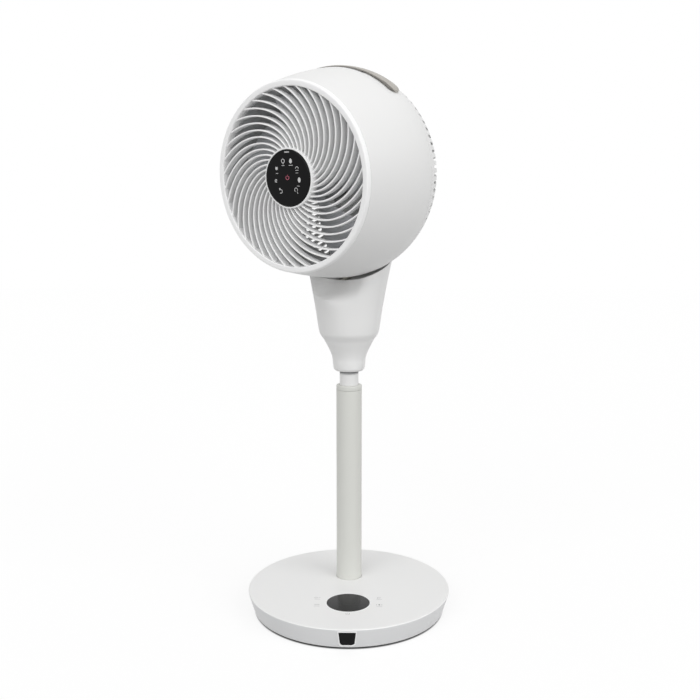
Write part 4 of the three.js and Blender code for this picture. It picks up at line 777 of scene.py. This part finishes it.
def build_handle():
    """The well is a tray with eased lips; the strap is a lens-shaped section swept over it with round ends."""
    a, b = WELL_BACK + 0.3, WELL_FRONT - 0.3
    half = WELL_HALF_ANGLE - 0.3 / WELL_FLOOR_R

    def top(along):
        return float(head_radius(along)) if along > SEAM else math.sqrt(BALL_R**2 - along**2)

    lip = [(top(s), s) for s in np.linspace(a, a + 2, 3)]
    lip2 = [(top(s), s) for s in np.linspace(b - 2, b, 3)]
    section = np.array([(WELL_FLOOR_R, b), (WELL_FLOOR_R, a), *lip, (WELL_FLOOR_R + 5, a + 2),
                        (WELL_FLOOR_R + 3, a + 3), (WELL_FLOOR_R + 2, a + 5), (WELL_FLOOR_R + 2, b - 5),
                        (WELL_FLOOR_R + 3, b - 3), (WELL_FLOOR_R + 5, b - 2), *lip2])
    angles = np.linspace(math.pi / 2 - half, math.pi / 2 + half, 49)[:, None]
    r, s = section[:, 0][None, :], section[:, 1][None, :]
    tray = lofted(np.stack([r * np.cos(angles), r * np.sin(angles), s + 0 * angles], -1))
    ends = []
    steps = np.linspace(a, b, 25)
    for side in (-1, 1):
        edge = math.pi / 2 + side * half
        inner = edge - side * 2 / WELL_FLOOR_R
        wall = np.concatenate([
            [(WELL_FLOOR_R, a)], [(top(s), s) for s in steps], [(WELL_FLOOR_R, b)],
        ])
        ring = [np.column_stack([wall[:, 0] * math.cos(angle), wall[:, 0] * math.sin(angle), wall[:, 1]])
                for angle in (edge, inner)]
        n = len(wall)
        i = np.arange(n)
        faces = np.stack([i, (i + 1) % n, (i + 1) % n + n, i + n], -1).tolist()
        faces += [list(range(n)), list(range(n, 2 * n))[::-1]]
        ends.append((np.concatenate(ring), faces))
    piece("finger_well", together([tray, *ends]), in_head, inner_grey, "head", "inner_grey", ["handle_well"])

    middle, half_width = (HANDLE_FRONT + HANDLE_BACK) / 2, (HANDLE_FRONT - HANDLE_BACK) / 2
    round_angle = half_width / BALL_R
    straight = HANDLE_HALF_ANGLE - round_angle
    q = np.linspace(0, 1, 15)[1:]
    tip = straight + round_angle * np.sin(q * math.pi / 2)
    angle = np.concatenate([-tip[::-1], np.linspace(-straight, straight, 97), tip])
    over = np.maximum(0, np.abs(angle) - straight) / round_angle
    width = half_width * np.sqrt(np.maximum(1 - over**2, 1e-6))
    inside = WELL_HALF_ANGLE - 2.6 / WELL_FLOOR_R
    dip = np.clip((inside - np.abs(angle)) / 0.03, 0, 1)
    low = 0.3 - 3.3 * dip * dip * (3 - 2 * dip)
    t = np.arange(36) * TAU / 36
    across = np.sign(np.cos(t)) * np.abs(np.cos(t)) ** 0.55
    up = np.sign(np.sin(t)) * np.abs(np.sin(t)) ** 0.8
    s = middle + width[:, None] * across[None, :]
    rise = np.clip(np.abs(angle) / math.radians(38), 0, 1) ** 2
    crown = ((HANDLE_PROUD + (HANDLE_END_PROUD - HANDLE_PROUD) * rise) * (width / half_width) ** 0.5)[:, None]
    crown = np.maximum(crown, 0.5)
    lift = (low[:, None] + crown) / 2 + up * (crown - low[:, None]) / 2
    r = np.minimum(head_radius(s), np.sqrt(BALL_R**2 - np.minimum(0, s) ** 2)) + lift
    a = (math.pi / 2 + angle)[:, None]
    strap = lofted(np.stack([r * np.cos(a), r * np.sin(a), s], -1))
    grip = piece("handle_strap", strap, in_head, handle_taupe, "head", "handle_taupe", ["carry_handle"],
                 sharp=60)
    forward = (in_head([(0, 0, 1)])[0] - in_head([(0, 0, 0)])[0]) / MM
    # The strap's faces that face forward take the darker colour.
    paint_where(grip, handle_edge, lambda centre, normal: normal @ forward > 0.45)


build_handle()


def build_grille():
    """Rim and hub turned; each rib is a 2 mm blade with a round front edge, radius growing steadily along
    the sweep angle: r = r0 + (r1 - r0) t, angle = turn + sweep t."""
    rim = turned(rounded([
        (OPENING_R, 92), (OPENING_R, 86, 0.3), (141.4, 86, 0.3), (139.6, RIM_BACK),
        (float(head_radius(RIM_BACK)), RIM_BACK, 0.4), (float(head_radius(RIM_FACE)) + 0.1, RIM_FACE, 2.2),
        (OPENING_R, RIM_FACE, 1.6), (OPENING_R, 92),
    ], 8), 288)
    hub = turned(rounded([
        (0, 90.4), (42, 90.4), (42, 87), (HUB_R, 87, 0.4), (HUB_R, HUB_FACE, 0.9), (42, HUB_FACE, 0.5),
        (42, 93.4), (0, 93.4),
    ], 6), 160)
    t = np.linspace(0, 1, 49)
    reach = OPENING_R + 1 - RIB_ROOT_R
    radius = RIB_ROOT_R + reach * t
    lean = np.arctan2(radius * RIB_SWEEP, reach)
    centre = np.column_stack([radius, 0 * radius])
    normal = np.column_stack([-np.sin(lean), np.cos(lean)])
    face, depth, half = RIM_FACE - 1.6, RIB_DEPTH, RIB_HALF
    nose = np.linspace(0, math.pi, 7)
    across = np.concatenate([[-0.75 * half, -half], -half * np.cos(nose[1:-1]), [half, 0.75 * half]])
    rise = np.concatenate([[-depth, -depth / 2], -half + half * np.sin(nose[1:-1]), [-depth / 2, -depth]])
    blades = []
    for i in range(RIB_COUNT):
        turn = i * TAU / RIB_COUNT
        c, s = np.cos(turn + RIB_SWEEP * t), np.sin(turn + RIB_SWEEP * t)
        flat = centre[:, None, :] + across[None, :, None] * normal[:, None, :]
        x = c[:, None] * flat[..., 0] - s[:, None] * flat[..., 1]
        y = s[:, None] * flat[..., 0] + c[:, None] * flat[..., 1]
        z = face + rise[None, :] + 0 * x
        blades.append(lofted(np.stack([x, y, z], -1)))
    # The grille's lighter white stands for light on the rim and the ribs: painted light.
    piece("spiral_grille", together([rim, hub, *blades]), in_head, grille_white_painted_light, "head", "shell_white",
          ["front_grille"], sharp=40)


build_grille()


def build_duct():
    """The air duct round the impeller, with six flat arms that hold the motor."""
    duct = turned(rounded([
        (DUCT_R, 60), (DUCT_R, -24, 0.8), (DUCT_R + 2, -24, 0.8), (DUCT_R + 2, 82.7, 0.6), (142, 82.7, 0.4),
        (141.4, 85.7, 0.4), (DUCT_R, 85.7, 0.8), (DUCT_R, 60),
    ]), 192)
    hold = turned(rounded([
        (38.3, -20), (38.3, -26.8, 0), (36.3, -26.8), (30.3, -26.8, 0.3), (30.3, -24.3, 0.3), (36.3, -24.3),
        (36.3, -10, 0.3), (38.3, -10, 0.5), (38.3, -20),
    ]), 96)
    arms = []
    for i in range(ARM_COUNT):
        t = np.linspace(0, 1, 13)[:, None]
        r = ARM_ROOT_R + (ARM_END_R - ARM_ROOT_R) * t
        ring = np.linspace(0, TAU, 13)[:-1]
        y = 2.0 * np.sign(np.sin(ring)) * np.abs(np.sin(ring)) ** 0.5
        z = ARM_Z + 7.0 * np.sign(np.cos(ring)) * np.abs(np.cos(ring)) ** 0.5
        arm = lofted(np.stack([r + 0 * y, y + 0 * r, z + 0 * r], -1))
        arms.append(turned_about_z(arm, (i + 0.5) * TAU / ARM_COUNT))
    piece("air_duct", together([duct, hold, *arms]), in_head, inner_grey, "head", "inner_grey", ["duct_frame"])


build_duct()


def build_impeller():
    """Five wrapped blades: angle = turn + 14 deg out + chord wrap, z = 44 + chord depth/2 + thickness, with a
    rounded section that is thickest in the middle of the chord, faired into the hub and shut at the tip."""
    hub = turned(rounded([
        (4.3, 40), (4.3, 12.3, 0.3), (9, 12.3, 0.5), (9, 72, 2), (37.5, 72, 2), (37.5, 13, 0.5), (40, 13, 0.8),
        (40, 75, 7), (4.3, 75, 0.5), (4.3, 40),
    ], 8), 128)
    out = np.linspace(0, 1, 41)
    u = np.arange(48) / 48
    chord, thick = np.cos(TAU * u)[None, :], np.sin(TAU * u)[None, :]
    chord_eased = np.sign(chord) * np.abs(chord) ** 0.9
    radius = (BLADE_ROOT_R + (BLADE_TIP_R - BLADE_ROOT_R) * out)[:, None]
    wrap = np.radians(33 + (26 - 33) * out)[:, None]
    depth = (52 + (44 - 52) * out)[:, None] / 2
    fat = (1.5 * np.sqrt(np.clip(1 - ((out - 0.5) / 0.5) ** 12, 0.02, 1)))[:, None]
    blades = []
    for i in range(BLADE_COUNT):
        angle = i * TAU / BLADE_COUNT + np.radians(14) * out[:, None] + chord_eased * wrap
        z = BLADE_Z + chord_eased * depth + thick * fat
        blades.append(lofted(np.stack([radius * np.cos(angle), radius * np.sin(angle), z], -1)))
    piece("fan_impeller", together([hub, *blades]), in_head, impeller_grey, "fan", "impeller_plastic",
          ["impeller"], sharp=50)


build_impeller()


def build_remote():
    """An open-backed case under a flat touch face with a round edge."""
    case = turned(rounded([
        (13.3, 94.5), (13.3, REMOTE_BACK, 0.3), (REMOTE_R, REMOTE_BACK, 1), (REMOTE_R, 100.2, 0.2),
        (39.9, 100.2), (39.9, 95.5, 0.5), (13.3, 95.5), (13.3, 94.5),
    ]), 160)
    piece("remote_body", case, in_head, shell_white, "remote", "shell_white", ["remote_case"])
    face = turned(rounded([
        (0, 100.5), (REMOTE_R, 100.5, 0.2), (REMOTE_R, REMOTE_FACE, 2.4), (0, REMOTE_FACE),
    ], 10), 160)
    piece("remote_touch_face", face, in_head, black_gloss, "remote", "black_gloss", ["remote_face"])


build_remote()

# ------------------------------------------------------------------ printed icons

POWER_ARC = math.radians(125), math.radians(415)


def ring_mark(x, y, inner, outer, start=0.0, end=TAU, steps=28):
    """An arc of a ring as one outline, or a whole ring as short pieces side by side."""
    a = np.linspace(start, end, steps + 1)
    arc = np.column_stack([np.cos(a), np.sin(a)])
    if end - start > TAU - 0.01:
        return [np.concatenate([outer * arc[k : k + 2], inner * arc[k : k + 2][::-1]]) + [x, y]
                for k in range(steps)]
    return [np.concatenate([outer * arc, inner * arc[::-1]]) + [x, y]]


def bar_mark(x, y, length, width, angle=0.0):
    """A plain bar about (x, y), turned by the angle."""
    c, s = math.cos(angle), math.sin(angle)
    corners = np.array([(-1, -1), (1, -1), (1, 1), (-1, 1)]) * [length / 2, width / 2]
    return [corners @ np.array([[c, s], [-s, c]]) + [x, y]]


def blob_mark(x, y, rx, ry, point=0.0, steps=24):
    """A rounded spot; point > 0 draws its top out like a drop."""
    a = np.arange(steps) * TAU / steps
    up = np.sin(a) + point * np.maximum(0, np.sin(a)) ** 4
    return [np.column_stack([rx * np.cos(a) * (1 - 0.35 * point * (up > 0.7)), ry * up]) + [x, y]]


def marks(name, outlines, low, high, place, material, body, slot):
    """Thin printed outlines raised between two heights, as one piece."""
    piece(name, together([block(o, low, high) for o in outlines]), place, material, body, slot, sharp=20)


def build_remote_icons():
    low, high = REMOTE_FACE - 0.05, REMOTE_FACE + 0.04
    white = []
    white += ring_mark(-6.4, 25.2, 2.3, 3.3) + bar_mark(-6.4, 21.2, 1.0, 1.6) + bar_mark(-6.6, 18.6, 5.6, 0.7)
    white += blob_mark(8.0, 24.6, 2.7, 3.3, 0.25) + bar_mark(8.0, 18.6, 7.6, 0.7)
    white += blob_mark(-20.0, 14.8, 1.7, 2.5) + bar_mark(-17.6, 14.8, 0.8, 4.6)
    white += bar_mark(-19.0, 7.4, 4.4, 0.7)
    white += ring_mark(19.2, 13.6, 2.2, 3.1, 0, math.pi) + bar_mark(19.2, 11.2, 6.0, 0.7)
    white += bar_mark(19.0, 7.4, 4.8, 0.6)
    white += ring_mark(-21.6, -3.4, 1.5, 2.4, 0.3, 5.5) + blob_mark(-21.6, -3.4, 0.8, 0.8)
    white += blob_mark(22.4, -2.8, 2.6, 3.8) + bar_mark(20.4, -11.6, 5.2, 0.7, -0.1)
    white += ring_mark(-13.6, -19.0, 2.2, 3.1, -2.2, 2.4) + blob_mark(-15.2, -15.6, 1.3, 1.7)
    white += ring_mark(15.6, -17.0, 2.3, 3.2, -0.5, 4.2) + bar_mark(17.9, -21.0, 3.6, 0.8, -1.2)
    marks("remote_key_icons", white, low, high, in_head, icon_white, "remote", "shell_white")
    marks("remote_sender_mark", bar_mark(1.6, 37.9, 9.0, 1.5), low, high, in_head, icon_white, "remote",
          "shell_white")
    power = ring_mark(0.4, 0.8, 2.4, 3.4, *POWER_ARC) + bar_mark(0.4, 3.6, 0.9, 3.0)
    marks("remote_power_icon", power, low, high, in_head, icon_red, "remote", "handle_taupe")


def build_base_icons():
    low, high = BASE_TOP_Z - 0.05, BASE_TOP_Z + 0.03
    grey = []
    for x in (-49, 49):
        for y in (-53, -79):
            grey += bar_mark(x, y - 3.4, 9.0, 0.7)
    grey += ring_mark(-51.5, -50.5, 1.8, 2.5) + bar_mark(-46.0, -50.5, 3.4, 0.7)
    grey += bar_mark(-49, -75.5, 8.0, 0.8) + bar_mark(-49, -78.0, 8.0, 0.8)
    grey += ring_mark(49, -50.5, 2.4, 3.1, 0.4, 5.6)
    grey += blob_mark(49, -76.3, 1.5, 2.3, 0.2)
    grey += bar_mark(45.0, -76.5, 0.8, 4.0) + bar_mark(53.0, -76.5, 0.8, 4.0)
    grey += ring_mark(0, -109.5, 2.6, 3.3, *POWER_ARC) + bar_mark(0, -107.0, 0.8, 3.0)
    marks("base_key_icons", grey, low, high, in_base, print_grey, "base", "dark_grey")


build_remote_icons()
build_base_icons()

# ------------------------------------------------------------------ floor, light and camera

# Lengths in this section are metres. The floor bounces FLOOR_BOUNCE of the light back onto the object. Where it
# is seen, it shows FLOOR_SEEN of the light on it and its own glow, so that a soft shadow stays.
ROOM_LIGHT = 0.49
FLOOR_GLOW = 0.80
FLOOR_BOUNCE = 0.52
FLOOR_SEEN = 0.22
FLOOR_Z = -0.0005
# Inside UNDER_BASE_R the floor doesn't glow: a painted shadow in the gap under the base's edge.
UNDER_BASE_R = 0.1515
OPEN_FLOOR_R = 0.1550
CAMERA_PLACE = (0.022, -1.4724, 0.6554)
CAMERA_DOWN = math.radians(7.52)
CAMERA_TURN = math.radians(0.776)


def seen_or_mirrored(nodes, links):
    """1 for rays from the camera and for mirrored or refracted rays, else 0."""
    path = nodes.new("ShaderNodeLightPath")
    last = path.outputs["Is Camera Ray"]
    for other in ("Is Glossy Ray", "Is Transmission Ray"):
        pick = nodes.new("ShaderNodeMath")
        pick.operation = "MAXIMUM"
        links.new(last, pick.inputs[0])
        links.new(path.outputs[other], pick.inputs[1])
        last = pick.outputs[0]
    return last


def build_stage():
    """A pale floor. Where it is seen it glows near to white and takes a soft shadow. Under the base it doesn't
    glow, a painted shadow that keeps the gap under the base's edge dark."""
    size = 6.0
    mesh = bpy.data.meshes.new("floor")
    corners = [(-size, -size), (size, -size), (size, size), (-size, size)]
    mesh.from_pydata([(x, y, FLOOR_Z) for x, y in corners], [], [(0, 1, 2, 3)])
    floor = bpy.data.objects.new("floor", mesh)
    bpy.context.scene.collection.objects.link(floor)
    material = bpy.data.materials.new("floor white")
    material.use_nodes = True
    nodes, links = material.node_tree.nodes, material.node_tree.links
    nodes.clear()
    out = nodes.new("ShaderNodeOutputMaterial")
    where = nodes.new("ShaderNodeTexCoord")
    flat = nodes.new("ShaderNodeVectorMath")
    flat.operation = "LENGTH"
    links.new(where.outputs["Object"], flat.inputs[0])
    # The glow is cut off under the base: painted shadow in the gap under its edge.
    open_floor = nodes.new("ShaderNodeMapRange")
    open_floor.inputs["From Min"].default_value = UNDER_BASE_R
    open_floor.inputs["From Max"].default_value = OPEN_FLOOR_R
    open_floor.inputs["To Max"].default_value = FLOOR_GLOW
    links.new(flat.outputs["Value"], open_floor.inputs["Value"])
    bounce = nodes.new("ShaderNodeBsdfDiffuse")
    bounce.inputs["Color"].default_value = (FLOOR_BOUNCE, FLOOR_BOUNCE, FLOOR_BOUNCE, 1)
    lit = nodes.new("ShaderNodeBsdfDiffuse")
    lit.inputs["Color"].default_value = (FLOOR_SEEN, FLOOR_SEEN, FLOOR_SEEN, 1)
    glow = nodes.new("ShaderNodeEmission")
    glow.inputs["Color"].default_value = (1, 1, 1, 1)
    links.new(open_floor.outputs["Result"], glow.inputs["Strength"])
    add = nodes.new("ShaderNodeAddShader")
    pick = nodes.new("ShaderNodeMixShader")
    links.new(lit.outputs[0], add.inputs[0])
    links.new(glow.outputs[0], add.inputs[1])
    links.new(seen_or_mirrored(nodes, links), pick.inputs[0])
    links.new(bounce.outputs[0], pick.inputs[1])
    links.new(add.outputs[0], pick.inputs[2])
    links.new(pick.outputs[0], out.inputs["Surface"])
    floor.data.materials.append(material)


def build_world():
    """Even light from all round; where it is seen it is plain white."""
    world = bpy.data.worlds.new("studio")
    bpy.context.scene.world = world
    world.use_nodes = True
    nodes, links = world.node_tree.nodes, world.node_tree.links
    nodes.clear()
    out = nodes.new("ShaderNodeOutputWorld")
    room = nodes.new("ShaderNodeBackground")
    room.inputs["Color"].default_value = (1, 1, 1, 1)
    room.inputs["Strength"].default_value = ROOM_LIGHT
    white = nodes.new("ShaderNodeBackground")
    white.inputs["Color"].default_value = (1, 1, 1, 1)
    white.inputs["Strength"].default_value = 1.0
    pick = nodes.new("ShaderNodeMixShader")
    links.new(seen_or_mirrored(nodes, links), pick.inputs[0])
    links.new(room.outputs[0], pick.inputs[1])
    links.new(white.outputs[0], pick.inputs[2])
    links.new(pick.outputs[0], out.inputs["Surface"])


def soft_light(name, turn, height, spread, level):
    """Even light from far away: turn in degrees to the right of the camera, height in degrees above the floor,
    and the light that it lays on a surface that faces it."""
    lamp = bpy.data.lights.new(name, "SUN")
    lamp.energy, lamp.angle, lamp.specular_factor = level * math.pi, math.radians(spread), 0.3
    holder = bpy.data.objects.new(name, lamp)
    bpy.context.scene.collection.objects.link(holder)
    holder.rotation_euler = (math.radians(90 - height), 0, math.radians(turn))


def build_camera():
    """The camera stands where the photograph's ellipses put it."""
    data = bpy.data.cameras.new("photo view")
    data.sensor_width, data.lens, data.shift_y = 36.0, 48.06, -0.03
    camera = bpy.data.objects.new("photo view", data)
    bpy.context.scene.collection.objects.link(camera)
    camera.location = CAMERA_PLACE
    camera.rotation_euler = (math.pi / 2 - CAMERA_DOWN, 0, CAMERA_TURN)
    bpy.context.scene.camera = camera


build_stage()
build_world()
soft_light("overhead softbox", 0, 80, 80, 0.13)
soft_light("front left softbox", -28, 28, 50, 0.30)
soft_light("right softbox", 50, 24, 50, 0.33)
build_camera()
bpy.context.scene.view_settings.view_transform = "Standard"
